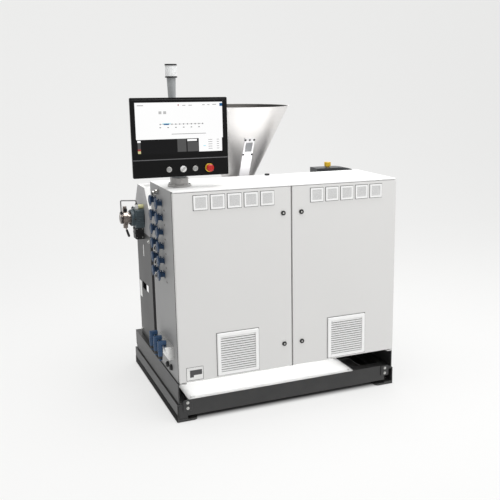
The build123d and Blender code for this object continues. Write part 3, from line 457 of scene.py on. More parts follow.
# Cabinet front edge: a black rubber profile pushed on the sheet's front edges, which the doors close
# against; its black also stands for the shade in the gap between walls and doors, as painted shade.
# The roof's front edge is folded down a little above the doors.
def rim(shape, left, right, bottom, top, width, face_y, depth, bevel=0.0):
    """Adds four strips inside a rectangle on an upright face: two uprights and two levels between."""
    for edge_x in (left, right - width):
        slab(shape, (edge_x, face_y, bottom), (edge_x + width, face_y + depth, top), bevel)
    for edge_z in (bottom, top - width):
        slab(shape, (left + width, face_y, edge_z), (right - width, face_y + depth, edge_z + width), bevel)


edge_seal_and_gap_shade, roof_lip = bmesh.new(), bmesh.new()
edge_width, edge_depth = 0.006, 0.0048
# Partly painted shade: the profile darkens the gap between the walls and the doors.
rim(edge_seal_and_gap_shade, wall_low.x, wall_high.x, wall_low.z, wall_high.z, edge_width, wall_low.y, -edge_depth, 0.001)
finish_piece("cabinet_edge_seal", edge_seal_and_gap_shade, rubber_black_and_shade)
lip_thickness, lip_drop, lip_overlap = 0.002, 0.0035, 0.0005
roof_low, roof_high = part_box("cabinet_roof")
slab(roof_lip, (roof_low.x, roof_low.y, roof_low.z + lip_overlap),
     (roof_high.x, roof_low.y + lip_thickness, roof_low.z - lip_drop), 0.0006)
finish_piece("roof_front_lip", roof_lip, lit_roof_coat)


# Doors: folded sheet pans in the same pale powder coat as the post between them, each with a
# black foam gasket round its inside.
dress(cabinet_coat, "left_door", "right_door")
gasket_foam = coated("gasket_foam", (0.012, 0.012, 0.012), 0.9, grain=700.0, bump=0.0003, edge=0.0005)
gasket_inset, gasket_rise, gasket_width, gasket_depth, door_sheet = 0.016, 0.010, 0.012, 0.006, 0.002
for side in ("left", "right"):
    gasket = bmesh.new()
    door_low, door_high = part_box(f"{side}_door")
    rim(gasket, *spread(door_low.x, door_high.x, gasket_inset), *spread(door_low.z, door_high.z, gasket_rise),
        gasket_width, door_low.y + door_sheet, gasket_depth, 0.0015)
    finish_piece(f"{side}_door_gasket", gasket, gasket_foam, f"{side}_door_leaf")


# Rating plate: a blank plate of bright sheet at the left door's lower left, held by two rivets.
# It has a dark printed rim and fields and carries nothing.
plate_metal = bright("rating_plate", (0.80, 0.80, 0.79), 0.30, stretch=(900.0, 40.0, 40.0), tint=0.04)
field_grey = coated("blank_field_grey", (0.06, 0.06, 0.062), 0.4, edge=0.0002)
door_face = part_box("left_door")[0].y
plate_left, plate_bottom, plate_width, plate_height, plate_sheet = -0.645, 0.249, 0.098, 0.078, 0.0008
plate_right, plate_top = plate_left + plate_width, plate_bottom + plate_height
plate_face = door_face - plate_sheet
blank_plate, blank_field = bmesh.new(), bmesh.new()
slab(blank_plate, (plate_left, door_face, plate_bottom), (plate_right, plate_face, plate_top), 0.0003)
rivet_head, rivet_inset = [(0.0022, 0), (0.0020, 0.0008), (0.0012, 0.0012)], 0.006
for rivet_x in spread(plate_left, plate_right, rivet_inset):
    turned(blank_plate, (rivet_x, plate_face, (plate_bottom + plate_top) / 2), forward, rivet_head, 12)
finish_piece("blank_rating_plate", blank_plate, plate_metal, "left_door_leaf")
print_depth, rim_width, field_left, field_bottom = 0.0002, 0.002, plate_left + 0.020, plate_bottom + 0.030
field_width, field_height, foot_width, foot_height = 0.070, 0.030, 0.022, 0.012
print_face = plate_face - print_depth
slab(blank_field, (field_left, plate_face, field_bottom),
     (field_left + field_width, print_face, field_bottom + field_height))
slab(blank_field, (field_left, plate_face, field_bottom - foot_height),
     (field_left + foot_width, print_face, field_bottom))
for edge_z in (plate_bottom, plate_top - rim_width):
    slab(blank_field, (plate_left, plate_face, edge_z), (plate_right, print_face, edge_z + rim_width))
for edge_x in (plate_left, plate_right - rim_width):
    slab(blank_field, (edge_x, plate_face, plate_bottom), (edge_x + rim_width, print_face, plate_top))
finish_piece("blank_plate_field", blank_field, field_grey, "left_door_leaf")


# Filter covers: white moulded covers with sloping slats over a grey filter mat, whose strips stand
# forward between the slats and also give the shade under each slat as painted shade. Each clips into
# the square cut-out of its door, a dark rim round it is a painted shadow, and four small screws sit
# in its corners.
filter_white = coated("filter_white", (0.93, 0.93, 0.925), 0.42, grain=600.0, bump=0.00004, patch=0.01,
                      edge=0.0014)
dress(filter_white, "left_fan_filter", "right_fan_filter", "left_door_vents", "right_door_vents")
filter_mat_and_shade = coated("filter_mat_and_shade", (0.17, 0.17, 0.17), 0.95, grain=1500.0, bump=0.0012, patch=0.25,
                    edge=0.0005)
filter_border, slat_count, mat_drop, mat_share = 0.020, 15, 0.16, 0.52
mat_back, mat_front, shadow_rim_width, shadow_rim_depth = 0.0002, 0.0024, 0.0032, 0.0016
cover_screw, screw_sink = 0.006, 0.0021
for side in ("left", "right"):
    leaf = f"{side}_door_leaf"
    cover_low, cover_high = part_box(f"{side}_fan_filter")
    mat, shadow_rim, cover_screws = bmesh.new(), bmesh.new(), bmesh.new()
    grille_left, grille_right = spread(cover_low.x, cover_high.x, filter_border)
    pitch = (grille_right - grille_left) / slat_count
    # Partly painted shade: the mat's dark strips also stand for the shade under each slat.
    for number in range(slat_count):
        bottom = cover_low.z + filter_border + (number - mat_drop) * pitch
        mat_bottom = max(bottom, cover_low.z + filter_border)
        slab(mat, (grille_left, door_face - mat_back, mat_bottom),
             (grille_right, door_face - mat_front, bottom + mat_share * pitch))
    finish_piece(f"{side}_filter_mat_and_shade", mat, filter_mat_and_shade, leaf)
    # Painted shadow: a dark rim round the cover stands for its shadow on the door.
    rim(shadow_rim, *spread(cover_low.x, cover_high.x, -shadow_rim_width),
        *spread(cover_low.z, cover_high.z, -shadow_rim_width), shadow_rim_width, door_face, -shadow_rim_depth, 0.0006)
    finish_piece(f"{side}_filter_shadow_rim", shadow_rim, filter_mat_and_shade, leaf)
    corner_columns = spread(cover_low.x, cover_high.x, filter_border / 2)
    corner_levels = spread(cover_low.z, cover_high.z, filter_border / 2)
    fasten(cover_screws, pan_screw, corner_columns, [cover_low.y + screw_sink], corner_levels, forward,
           cover_screw)
    finish_piece(f"{side}_filter_screws", cover_screws, filter_white, leaf)


# Small vents: five square white frames in each door, each with a thin dark rim round it as a painted
# shadow, and a fine grey grid set into it. The grid is a pressed mesh held behind the frame's lip.
vent_grey = coated("vent_grid_grey", (0.86, 0.86, 0.855), 0.5, grain=500.0, edge=0.0003)
vent_back = coated("vent_back", (0.50, 0.50, 0.50), 0.8, grain=500.0, edge=0.0003)
vent_shadow_grey = coated("vent_painted_shadow_grey", (0.13, 0.13, 0.13), 0.85, grain=700.0, edge=0.0003)
vent_count, vent_size, vent_border, vent_setback = 5, 0.078, 0.009, 0.003
grid_bars, bar_width, back_depth, level_depth, upright_depth = 12, 0.0016, 0.0003, 0.0015, 0.0017
vent_shadow_width, vent_shadow_depth = 0.0030, 0.0012
vent_field = vent_size - 2 * vent_border
for side in ("left", "right"):
    leaf = f"{side}_door_leaf"
    vents_low, vents_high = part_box(f"{side}_door_vents")
    floor_y = vents_low.y + vent_setback
    bars_y = floor_y - back_depth
    bottom = vents_low.z + vent_border
    grid, field, vent_shadow_rim = bmesh.new(), bmesh.new(), bmesh.new()
    for vent_left in spread(vents_low.x, vents_high.x - vent_size, 0, vent_count):
        left = vent_left + vent_border
        # Painted shadow: a dark rim round each vent frame.
        rim(vent_shadow_rim, *spread(vent_left, vent_left + vent_size, -vent_shadow_width),
            *spread(vents_low.z, vents_high.z, -vent_shadow_width), vent_shadow_width, door_face,
            -vent_shadow_depth, 0.0004)
        slab(field, (left, floor_y, bottom), (left + vent_field, bars_y, bottom + vent_field))
        for step in spread(0, vent_field - bar_width, 0, grid_bars + 1):
            slab(grid, (left + step, bars_y, bottom),
                 (left + step + bar_width, floor_y - upright_depth, bottom + vent_field))
            slab(grid, (left, bars_y, bottom + step),
                 (left + vent_field, floor_y - level_depth, bottom + step + bar_width))
    finish_piece(f"{side}_vent_fields", field, vent_back, leaf)
    finish_piece(f"{side}_vent_grids", grid, vent_grey, leaf)
    finish_piece(f"{side}_vent_shadow_rims", vent_shadow_rim, vent_shadow_grey, leaf)


# Quarter-turn locks: black die-cast locks with a slot for the cabinet key and a thin bright ring.
# Two hold each door shut, one high and one low.
lock_black = coated("lock_black", (0.010, 0.010, 0.011), 0.32, grain=500.0, patch=0.15, edge=0.0006)
dress(lock_black, "left_door_locks", "right_door_locks")
ring_gap, ring_width, ring_chamfer, ring_height = 0.0003, 0.003, 0.0008, 0.0014
lock_core = [(0.0046, -0.001), (0.0046, 0.0006), (0.0038, 0.0010), (0.0012, 0.0010), (0.0012, -0.001)]
for side in ("left", "right"):
    leaf = f"{side}_door_leaf"
    locks_low, locks_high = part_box(f"{side}_door_locks")
    lock_x, lock_radius = (locks_low.x + locks_high.x) / 2, (locks_high.x - locks_low.x) / 2
    inner, outer = lock_radius + ring_gap, lock_radius + ring_width
    lock_ring = [(inner, 0), (outer, 0), (outer - ring_chamfer, ring_height)]
    lock_ring += [(inner, ring_height), (inner, 0)]
    rings, cores = bmesh.new(), bmesh.new()
    for lock_z in spread(locks_low.z, locks_high.z, lock_radius):
        turned(rings, (lock_x, door_face, lock_z), forward, lock_ring, 28)
        turned(cores, (lock_x, locks_low.y, lock_z), forward, lock_core, 20)
    finish_piece(f"{side}_lock_rings", rings, zinc, leaf)
    finish_piece(f"{side}_lock_cores", cores, zinc, leaf)


# Roof plug: a black moulded plug at the roof's rear edge that closes a lifting hole once its eye
# bolt is out. It is pressed in from above.
moulded_black = coated("moulded_black", (0.013, 0.013, 0.014), 0.45, grain=700.0, patch=0.12, dust=0.05,
                       edge=0.0008)
dress(moulded_black, "roof_plug")


# Wall sockets: blue moulded connectors in two columns, each with a hinged lid held down by a
# spring. The heaters' plugs go in here. Each has a zinc hinge pin and a grip under its lid.
socket_plastic = coated("socket_plastic", (0.010, 0.042, 0.105), 0.36, grain=500.0, patch=0.18, edge=0.0012)
dress(socket_plastic, "wall_sockets")
socket_rows, socket_pitch, lid_radius = 6, 0.082, 0.029
sockets_low, sockets_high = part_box("wall_sockets")
wall_face, lid_face = wall_low.x, sockets_low.x
socket_columns = spread(sockets_low.y, sockets_high.y, lid_radius)
socket_levels = [sockets_high.z - lid_radius - row * socket_pitch for row in range(socket_rows)]
lid_ring = [(0.021, -0.0005), (0.021, 0.0012), (0.018, 0.0012), (0.0172, -0.0005)]
grip_half, grip_out, grip_in, grip_drop, grip_lap = 0.007, 0.008, 0.001, 0.005, 0.003
pin_radius, pin_half, pin_setback, pin_drop = 0.0022, 0.0105, 0.012, 0.006
flange_screw, flange_half, flange_thickness = 0.0048, 0.0145, 0.004
leftward = (-1, 0, 0)
lid_details, hinge_pins = bmesh.new(), bmesh.new()
for column_y, level in product(socket_columns, socket_levels):
    turned(lid_details, (lid_face, column_y, level), leftward, lid_ring, 28)
    lid_bottom = level - lid_radius
    slab(lid_details, (lid_face + grip_out, column_y - grip_half, lid_bottom - grip_drop),
         (lid_face + grip_in, column_y + grip_half, lid_bottom + grip_lap), 0.001)
    pin_start = (lid_face + pin_setback, column_y - pin_half, level + lid_radius - pin_drop)
    turned(hinge_pins, pin_start, backward, [(pin_radius, 0), (pin_radius, 2 * pin_half)], 12)
    fasten(hinge_pins, pan_screw, [wall_face - flange_thickness],
           (column_y - flange_half, column_y + flange_half), (level - flange_half, level + flange_half),
           leftward, flange_screw)
finish_piece("socket_lid_details", lid_details, socket_plastic)
finish_zinc("socket_pins_and_screws", hinge_pins)


# Socket tags: small blank tags of engraving sheet, riveted to the wall below the front sockets.
# They are dark grey and carry nothing.
tag_grey = coated("tag_grey", (0.15, 0.145, 0.135), 0.5, grain=600.0, edge=0.0003)
tags = bmesh.new()
tag_width, tag_height, tag_drop, tag_shift, tag_sheet = 0.026, 0.009, 0.030, 0.040, 0.001
tag_end = socket_columns[0] - tag_shift
for level in socket_levels:
    slab(tags, (wall_face, tag_end - tag_width, level - tag_drop - tag_height),
         (wall_face - tag_sheet, tag_end, level - tag_drop), 0.0003)
finish_piece("socket_tags", tags, tag_grey)


# Cable glands and grommets: nickel-plated brass glands beside the sockets, with black sealing
# rings, and two black rubber grommets low down where cables enter the wall.
nickel = bright("nickel_plate", (0.66, 0.65, 0.62), 0.26, stretch=(300.0, 60.0, 60.0), tint=0.06)
dress(nickel, "cable_glands")
dress(moulded_black, "cable_grommets")
gland_seals = bmesh.new()
gland_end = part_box("cable_glands")[0].x
seal_ring = [(0.0105, -0.001), (0.0105, 0.002), (0.006, 0.0026), (0.006, -0.001)]
upper_glands = [(-0.188, 1.262), (-0.254, 1.278)]
lower_column, lower_top, lower_count = -0.186, 0.942, 3
lower_glands = [(lower_column, lower_top - row * socket_pitch) for row in range(lower_count)]
for gland_y, gland_z in upper_glands + lower_glands:
    turned(gland_seals, (gland_end, gland_y, gland_z), leftward, seal_ring, 20)
finish_piece("gland_seals", gland_seals, rubber)


# Lower plug box: a bent box of bare bright sheet on the wall, below the sockets. Three screws
# stand in a row along its top edge.
box_sheet = bright("plug_box_sheet", (0.84, 0.84, 0.83), 0.30, stretch=(60.0, 300.0, 60.0), tint=0.05)
dress(box_sheet, "plug_box")
box_screws = bmesh.new()
box_screw, box_inset, box_setback = 0.007, 0.03, 0.012
box_low, box_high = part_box("plug_box")
box_rows = spread(box_low.y, box_high.y, box_inset, 3)
fasten(box_screws, pan_screw, [box_high.x - box_setback], box_rows, [box_high.z], upward, box_screw)
finish_zinc("plug_box_screws", box_screws)


# Hanging plugs: three blue angled plugs that reach over the box's top edge and hang down in front
# of it. Each has moulded grip rings and a black nut for its cable.
plug_plastic = coated("plug_plastic", (0.016, 0.062, 0.150), 0.34, grain=500.0, patch=0.15, edge=0.0012)
dress(plug_plastic, "hanging_plugs")
plug_rings, plug_nuts = bmesh.new(), bmesh.new()
plug_radius, plug_pitch, plug_count, grip_rise = 0.014, 0.100, 3, 0.0016
grip_top, grip_pitch, grip_count, nut_rise = 0.032, 0.014, 3, 0.026
grip_ring = [(plug_radius, -0.0002), (plug_radius + grip_rise, 0.001), (plug_radius + grip_rise, 0.004),
             (plug_radius, 0.005)]
cable_nut = [(0.0115, 0), (0.0115, 0.016), (0.0085, 0.0262), (0.0045, 0.0262), (0.0045, 0.024)]
plugs_low, plugs_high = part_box("hanging_plugs")
plug_x, downward = plugs_low.x + plug_radius, (0, 0, -1)
for number in range(plug_count):
    plug_y = plugs_high.y - plug_radius - number * plug_pitch
    for grip in range(grip_count):
        grip_level = plugs_high.z - grip_top - grip * grip_pitch
        turned(plug_rings, (plug_x, plug_y, grip_level), downward, grip_ring, 20)
    turned(plug_nuts, (plug_x, plug_y, plugs_low.z + nut_rise), downward, cable_nut, 10)
finish_piece("plug_grip_rings", plug_rings, plug_plastic)
finish_piece("plug_cable_nuts", plug_nuts, moulded_black)


# Panel swivel: a turned aluminium foot bolted to the roof and the arm that stands on it.
# The arm is an extruded post with a round plate and carries the operator panel.
def bolt_circle(shape, centre, axis, radius, count, across_flats, turn=0.0):
    """Hexagon bolts at even steps round a centre."""
    along = Vector(axis).normalized()
    across = along.orthogonal().normalized()
    for number in range(count):
        spoke = across.copy()
        spoke.rotate(Matrix.Rotation(turn + 2 * math.pi * number / count, 3, along))
        hexagon_bolt(shape, Vector(centre) + radius * spoke, axis, across_flats)


pole_grey = coated("pole_grey", (0.36, 0.375, 0.38), 0.38, grain=600.0, patch=0.04, edge=0.002)
foot_silver = coated("foot_silver", (0.42, 0.41, 0.40), 0.35, grain=600.0, patch=0.06, edge=0.002)
dress(pole_grey, "panel_arm", "signal_pole")
dress(foot_silver, "panel_swivel_foot")
swivel_bolts, arm_bolts = bmesh.new(), bmesh.new()
foot_flange, foot_circle, foot_bolt, foot_count = 0.012, 0.0565, 0.007, 6
arm_flange, arm_circle, arm_bolt, arm_count = 0.008, 0.0365, 0.005, 4
foot_low, foot_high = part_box("panel_swivel_foot")
foot_middle = (foot_low + foot_high) / 2
foot_face = (foot_middle.x, foot_middle.y, foot_low.z + foot_flange)
bolt_circle(swivel_bolts, foot_face, upward, foot_circle, foot_count, foot_bolt)
finish_zinc("swivel_foot_bolts", swivel_bolts)
arm_face = (foot_middle.x, foot_middle.y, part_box("panel_arm")[0].z + arm_flange)
bolt_circle(arm_bolts, arm_face, upward, arm_circle, arm_count, arm_bolt, math.pi / 4)
finish_zinc("arm_plate_bolts", arm_bolts, "operator_panel")


# Operator panel housing: a flat black front frame on a deeper back cover, both die-cast and
# powder coated. A grey trim line crosses the front between the screen and the controls, and
# cooling fins and six screws are on the back.
panel_coat = coated("panel_coat", (0.0045, 0.0045, 0.0047), 0.42, grain=800.0, bump=0.00005, patch=0.1,
                    edge=0.001, shine=0.12)
dress(panel_coat, "panel_housing")
panel_low, panel_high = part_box("panel_housing")
screen_low, screen_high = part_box("panel_screen")
panel_face, panel_rear = panel_low.y, panel_high.y
trim_grey = coated("panel_trim_grey", (0.11, 0.11, 0.115), 0.4, grain=800.0, edge=0.0002)
panel_trim = bmesh.new()
trim_drop, trim_height, trim_inset, trim_depth = 0.034, 0.0045, 0.002, 0.0008
line_drop, line_height, line_inset, line_depth = 0.011, 0.0009, 0.010, 0.0003
trim_level, line_level = screen_low.z - trim_drop, panel_high.z - line_drop
trim_left, trim_right = spread(panel_low.x, panel_high.x, trim_inset)
slab(panel_trim, (trim_left, panel_face, trim_level),
     (trim_right, panel_face - trim_depth, trim_level + trim_height), 0.0002)
line_left, line_right = spread(panel_low.x, panel_high.x, line_inset)
slab(panel_trim, (line_left, panel_face, line_level),
     (line_right, panel_face - line_depth, line_level + line_height))
finish_piece("panel_trim_lines", panel_trim, trim_grey, "operator_panel")

rear_fins, rear_panel_screws = bmesh.new(), bmesh.new()
fin_count, fin_width, fin_pitch, fin_sink, fin_rise = 15, 0.006, 0.013, 0.001, 0.004
fin_bottom, fin_top = panel_high.z - 0.155, panel_high.z - 0.075
fins_left = (panel_low.x + panel_high.x - (fin_count - 1) * fin_pitch - fin_width) / 2
for number in range(fin_count):
    left = fins_left + number * fin_pitch
    slab(rear_fins, (left, panel_rear - fin_sink, fin_bottom),
         (left + fin_width, panel_rear + fin_rise, fin_top), 0.0012)
finish_piece("panel_cooling_fins", rear_fins, panel_coat, "operator_panel")
panel_screw, panel_inset, top_inset = 0.007, 0.075, 0.065
screw_levels = (panel_low.z + panel_inset, (panel_low.z + panel_high.z) / 2, panel_high.z - top_inset)
screw_columns = spread(panel_low.x, panel_high.x, panel_inset)
fasten(rear_panel_screws, pan_screw, screw_columns, [panel_rear], screw_levels, backward, panel_screw)
finish_zinc("panel_rear_screws", rear_panel_screws, "operator_panel")


# Screen: a lit flat display behind glass, with a plain picture of its own: a header row, a
# process line with one piece marked, and status fields below. It shows no lettering.
def lit(name, colour):
    """A glowing part of the display picture behind its glossy glass."""
    material, tree, skin = new_material(name)
    fine = use_group(tree, paint_grain, Grain_Size=1500.0, Patch_Size=2.0)
    glow = blend_colour(tree, fine["Patches"], shaded(colour, 0.96), shaded(colour, 1.04))
    feed(tree, glow, skin["Emission Color"])
    glass = blend_colour(tree, fine["Patches"], (0.004, 0.004, 0.004), (0.008, 0.008, 0.008))
    feed(tree, glass, skin["Base Color"])
    glass_shine, glass_rough, rough_span, brightness = 0.12, 0.10, 0.03, 1.0
    skin["Specular IOR Level"].default_value = glass_shine
    feed(tree, math_node(tree, "MULTIPLY_ADD", fine["Height"], rough_span, glass_rough), skin["Roughness"])
    skin["Emission Strength"].default_value = brightness
    return material


screen_white = lit("screen_white", (1.0, 1.0, 1.0))
dress(screen_white, "panel_screen")
screen_width, screen_height = screen_high.x - screen_low.x, screen_high.z - screen_low.z
layer_step = 0.0001


def screen_fields(name, material, fields, layer):
    """Flat fields of one colour on the screen, each given by its left, top, right and bottom share."""
    shape = bmesh.new()
    for left, top, right, bottom in fields:
        first = (screen_low.x + left * screen_width, panel_face, screen_high.z - top * screen_height)
        slab(shape, first, (screen_low.x + right * screen_width, panel_face - layer_step * layer,
                            screen_high.z - bottom * screen_height))
    finish_piece(name, shape, material, "operator_panel")


def screen_marks(lefts, top, width, height):
    """A row of like marks: its fields for screen_fields."""
    return [(left, top, left + width, top + height) for left in lefts]


status_top, status_right, status_rim, side_left, side_right = 0.715, 0.712, 0.985, 0.014, 0.046
dark_fields = [(0.0, status_top, status_right, 1.0), (status_right, status_rim, 1.0, 1.0)]
screen_fields("screen_dark_field", lit("screen_dark", (0.004, 0.004, 0.0045)),
              [*dark_fields, (0.988, status_top, 1.0, 1.0)], 1)
grey_fields = [(0.462, 0.72, 0.565, 0.975), (0.578, 0.785, 0.704, 0.975), (side_left, 0.77, side_right, 0.90)]
screen_fields("screen_grey_fields", lit("screen_grey", (0.085, 0.085, 0.085)), grey_fields, 2)
screen_fields("screen_white_tab", screen_white, [(0.578, 0.728, 0.69, 0.768), (0.012, 0.73, 0.048, 0.77)], 3)
header_marks = [(0.025, 0.05, 0.095, 0.062), (0.535, 0.055, 0.57, 0.066), (0.605, 0.055, 0.645, 0.066)]
header_marks += [(0.765, 0.05, 0.795, 0.061), (0.825, 0.05, 0.85, 0.061), (0.885, 0.045, 0.93, 0.056)]
process_left, process_top, process_pitch, process_count = 0.275, 0.425, 0.0445, 12
steps = [process_left + number * process_pitch for number in range(process_count)]
line_marks = [(process_left, process_top - 0.002, steps[-1], process_top + 0.003)]
line_marks += screen_marks([step - 0.006 for step in steps], process_top - 0.012, 0.012, 0.025)
line_marks += screen_marks([step - 0.009 for step in steps[::2]], process_top + 0.055, 0.018, 0.017)
tick_marks = [(0.40, 0.615, 0.80, 0.625)]
tick_rows, tick_top, tick_pitch, tick_height = 5, 0.745, 0.045, 0.009
for row in range(tick_rows):
    tick_marks += screen_marks([0.825], tick_top + row * tick_pitch, 0.047, tick_height)
    tick_marks += screen_marks([0.925], tick_top + row * tick_pitch, 0.027, tick_height)
mark_grey = lit("screen_mark_grey", (0.20, 0.20, 0.20))
screen_fields("screen_marks", mark_grey, header_marks + line_marks + tick_marks, 2)
screen_fields("screen_pale_marks", lit("screen_pale_grey", (0.50, 0.50, 0.50)),
              screen_marks((0.262, 0.315), 0.17, 0.033, 0.055), 2)
screen_fields("screen_blue_marks", lit("screen_blue", (0.01, 0.10, 0.26)),
              [(0.968, 0.025, 1.0, 0.085), (0.318, 0.412, 0.376, 0.438)], 3)
screen_fields("screen_pale_blue_marks", lit("screen_pale_blue", (0.25, 0.72, 0.85)),
              [(0.300, 0.406, 0.394, 0.418), (0.765, 0.865, 0.795, 0.877)], 3)
screen_fields("screen_red_mark", lit("screen_red", (0.33, 0.05, 0.05)),
              [(0.482, 0.04, 0.494, 0.068), (side_left, 0.90, side_right, 0.935)], 3)
screen_fields("screen_yellow_mark", lit("screen_yellow", (0.62, 0.58, 0.30)),
              [(side_left, 0.935, side_right, status_rim)], 3)


# Push buttons and selector: grey caps in bright front rings, and a pale knob between them. They
# sit in 22 mm holes and are held by nuts behind the panel.
button_grey = coated("button_grey", (0.46, 0.46, 0.45), 0.3, grain=500.0, patch=0.05, edge=0.0008)
cap_grey = coated("cap_grey", (0.30, 0.30, 0.30), 0.3, edge=0.0005)
knob_white = coated("knob_white", (0.78, 0.78, 0.77), 0.3, grain=500.0, patch=0.03, edge=0.0008)
dress(button_grey, "panel_buttons")
control_level = panel_low.z + 0.041
left_button, right_button, selector = [(panel_low.x + along, panel_face, control_level)
                                       for along in (0.193, 0.338, 0.270)]
front_ring = [(0.0150, 0.0), (0.0150, 0.0028), (0.0142, 0.0045), (0.0118, 0.0045), (0.0113, 0.0035)]
cap_profile = [(0.0102, 0.0088), (0.0100, 0.0098), (0.0060, 0.0092), (0.0, 0.0090)]
knob_profile = [(0.0172, 0.0044), (0.0172, 0.0085), (0.0150, 0.0105), (0.0, 0.0105)]
button_rings, button_caps, knob = bmesh.new(), bmesh.new(), bmesh.new()
for place in (left_button, right_button, selector):
    turned(button_rings, place, forward, front_ring, 32)
for place in (left_button, right_button):
    turned(button_caps, place, forward, cap_profile, 28)
turned(knob, selector, forward, knob_profile, 32)
finish_piece("button_front_rings", button_rings, nickel, "operator_panel")
finish_piece("button_caps", button_caps, cap_grey, "operator_panel")
finish_piece("selector_knob", knob, knob_white, "operator_panel")


# Emergency stop: a red moulded mushroom on a yellow ring. Its flat top has a turned rim, and
# it latches when struck.
stop_red = coated("stop_red", (0.50, 0.012, 0.008), 0.28, grain=400.0, patch=0.08, edge=0.0012)
stop_yellow = coated("stop_yellow", (0.75, 0.52, 0.04), 0.35, grain=500.0, patch=0.04, edge=0.0008)
dress(stop_red, "emergency_stop")
stop_low, stop_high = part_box("emergency_stop")
stop_x = (stop_low.x + stop_high.x) / 2
collar_profile = [(0.0232, 0.0), (0.0232, 0.0040), (0.0218, 0.0058), (0.0130, 0.0058)]
rim_profile = [(0.0135, -0.0003), (0.0135, 0.0005), (0.0120, 0.0008), (0.0112, -0.0003)]
stop_collar, stop_rim = bmesh.new(), bmesh.new()
turned(stop_collar, (stop_x, panel_face, control_level), forward, collar_profile, 36)
turned(stop_rim, (stop_x, stop_low.y, control_level), forward, rim_profile, 32)
finish_piece("stop_yellow_ring", stop_collar, stop_yellow, "operator_panel")
finish_piece("stop_top_rim", stop_rim, stop_red, "operator_panel")


# Signal light: a ribbed clear lens over a white lamp, between two black rings on top of an
# aluminium pole. The pole's foot is screwed to the roof with three small screws.
lamp_white = coated("lamp_white", (0.90, 0.91, 0.91), 0.18, grain=300.0, patch=0.02, edge=0.0006)
dress(lamp_white, "signal_light")
dress(moulded_black, "signal_light_rings")
lamp_low, lamp_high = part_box("signal_light")
lamp_middle = (lamp_low + lamp_high) / 2


def round_lamp(radius, angle, level):
    """A place beside the lamp's axis."""
    return (lamp_middle.x + radius * math.cos(angle), lamp_middle.y + radius * math.sin(angle), level)


lens_ribs, pole_screws = bmesh.new(), bmesh.new()
rib_count, rib_radius, lens_radius = 36, 0.0011, (lamp_high.x - lamp_low.x) / 2
lens_rib = [(rib_radius, 0.0), (rib_radius, lamp_high.z - lamp_low.z)]
for number in range(rib_count):
    angle = 2 * math.pi * number / rib_count
    turned(lens_ribs, round_lamp(lens_radius, angle, lamp_low.z), upward, lens_rib, 6)
finish_piece("signal_lens_ribs", lens_ribs, lamp_white)
pole_screw, pole_circle, pole_flange, pole_count = 0.006, 0.0295, 0.010, 3
pole_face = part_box("signal_pole")[0].z + pole_flange
for number in range(pole_count):
    angle = 2 * math.pi * number / pole_count + math.pi / 2
    pan_screw(pole_screws, round_lamp(pole_circle, angle, pole_face), upward, pole_screw)
finish_zinc("pole_foot_screws", pole_screws)


# End column: a folded steel portal, painted dark grey, with a window for the heater cables.
# Hexagon bolts hold it to the machine frame, and it carries two small blank plates.
column_paint = coated("column_paint", (0.065, 0.065, 0.066), 0.48, worn=(0.35, 0.35, 0.36), wear=0.25,
                      dust=0.06)
dress(column_paint, "end_column")
column_bolts, column_plates = bmesh.new(), bmesh.new()
column_bolt, column_inset, column_top_inset = 0.013, 0.030, 0.035
column_low, column_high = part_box("end_column")
column_face = column_low.x
column_levels = (column_low.z + column_inset, column_high.z - column_top_inset)
column_rows = spread(column_low.y, column_high.y, column_inset)
fasten(column_bolts, hexagon_bolt, [column_face], column_rows, column_levels, leftward, column_bolt)
finish_zinc("column_bolts", column_bolts)
narrow_first, narrow_second, narrow_sheet = (0.292, 0.790), (0.306, 0.865), 0.001
wide_first, wide_second, wide_sheet = (0.402, 0.492), (0.458, 0.600), 0.0012
slab(column_plates, (column_face, *narrow_first), (column_face - narrow_sheet, *narrow_second), 0.0003)
slab(column_plates, (column_face, *wide_first), (column_face - wide_sheet, *wide_second), 0.0004)
finish_piece("column_blank_plates", column_plates, plate_metal)


# Barrel guard: a folded sheet tunnel over the heated barrel. Its mid grey paint is darker than its
# sheet as painted shade, and screws with washers hold its lower edges. A pale folded sheet lies over its
# two slopes and its top as painted light, with a blank plate on it.
# Painted shade: the guard's grey is darker than its sheet, for its shaded end faces.
guard_shaded_paint = coated("guard_shaded_paint", (0.38, 0.38, 0.385), 0.42, patch=0.04, worn=(0.5, 0.5, 0.5), wear=0.2,
                     dust=0.06)
dress(guard_shaded_paint, "barrel_guard")
guard_screws = bmesh.new()
guard_screw, guard_margin, guard_rise, guard_count = 0.009, 0.03, 0.02, 5
guard_low, guard_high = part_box("barrel_guard")
guard_columns = spread(guard_low.x, guard_high.x, guard_margin, guard_count)
for side_y, facing in ((guard_low.y, forward), (guard_high.y, backward)):
    fasten(guard_screws, pan_screw, guard_columns, [side_y], [guard_low.z + guard_rise], facing, guard_screw)
finish_zinc("guard_screws", guard_screws)

# Painted light: this pale coat over the slopes and top stands for the light falling on them.
lit_cover_coat = coated("guard_cover_painted_light", (0.80, 0.80, 0.79), 0.4, patch=0.03, worn=(0.5, 0.5, 0.5), wear=0.15,
                    dust=0.05)
shoulder_level, crown_half, cover_sheet = 1.120, 0.095, 0.0010
guard_middle = (guard_low.y + guard_high.y) / 2
cover_line = [Vector((guard_low.y, shoulder_level)), Vector((guard_middle - crown_half, guard_high.z))]
cover_line += [Vector((guard_middle + crown_half, guard_high.z)), Vector((guard_high.y, shoulder_level))]
slope_run = (cover_line[1] - cover_line[0]).normalized()
slope_out = Vector((-slope_run.y, slope_run.x))
fold_out = (slope_out + Vector((0, 1))) / (1 + slope_out.y)
outward = [slope_out, fold_out, Vector((-fold_out.x, fold_out.y)), Vector((-slope_out.x, slope_out.y))]
upper_line = [point + cover_sheet * out for point, out in zip(cover_line, outward)]
outline = cover_line + upper_line[::-1]
cover_shape = bmesh.new()
guard_ends = (guard_low.x, guard_high.x)
rings = [[cover_shape.verts.new((end_x, *point)) for point in outline] for end_x in guard_ends]
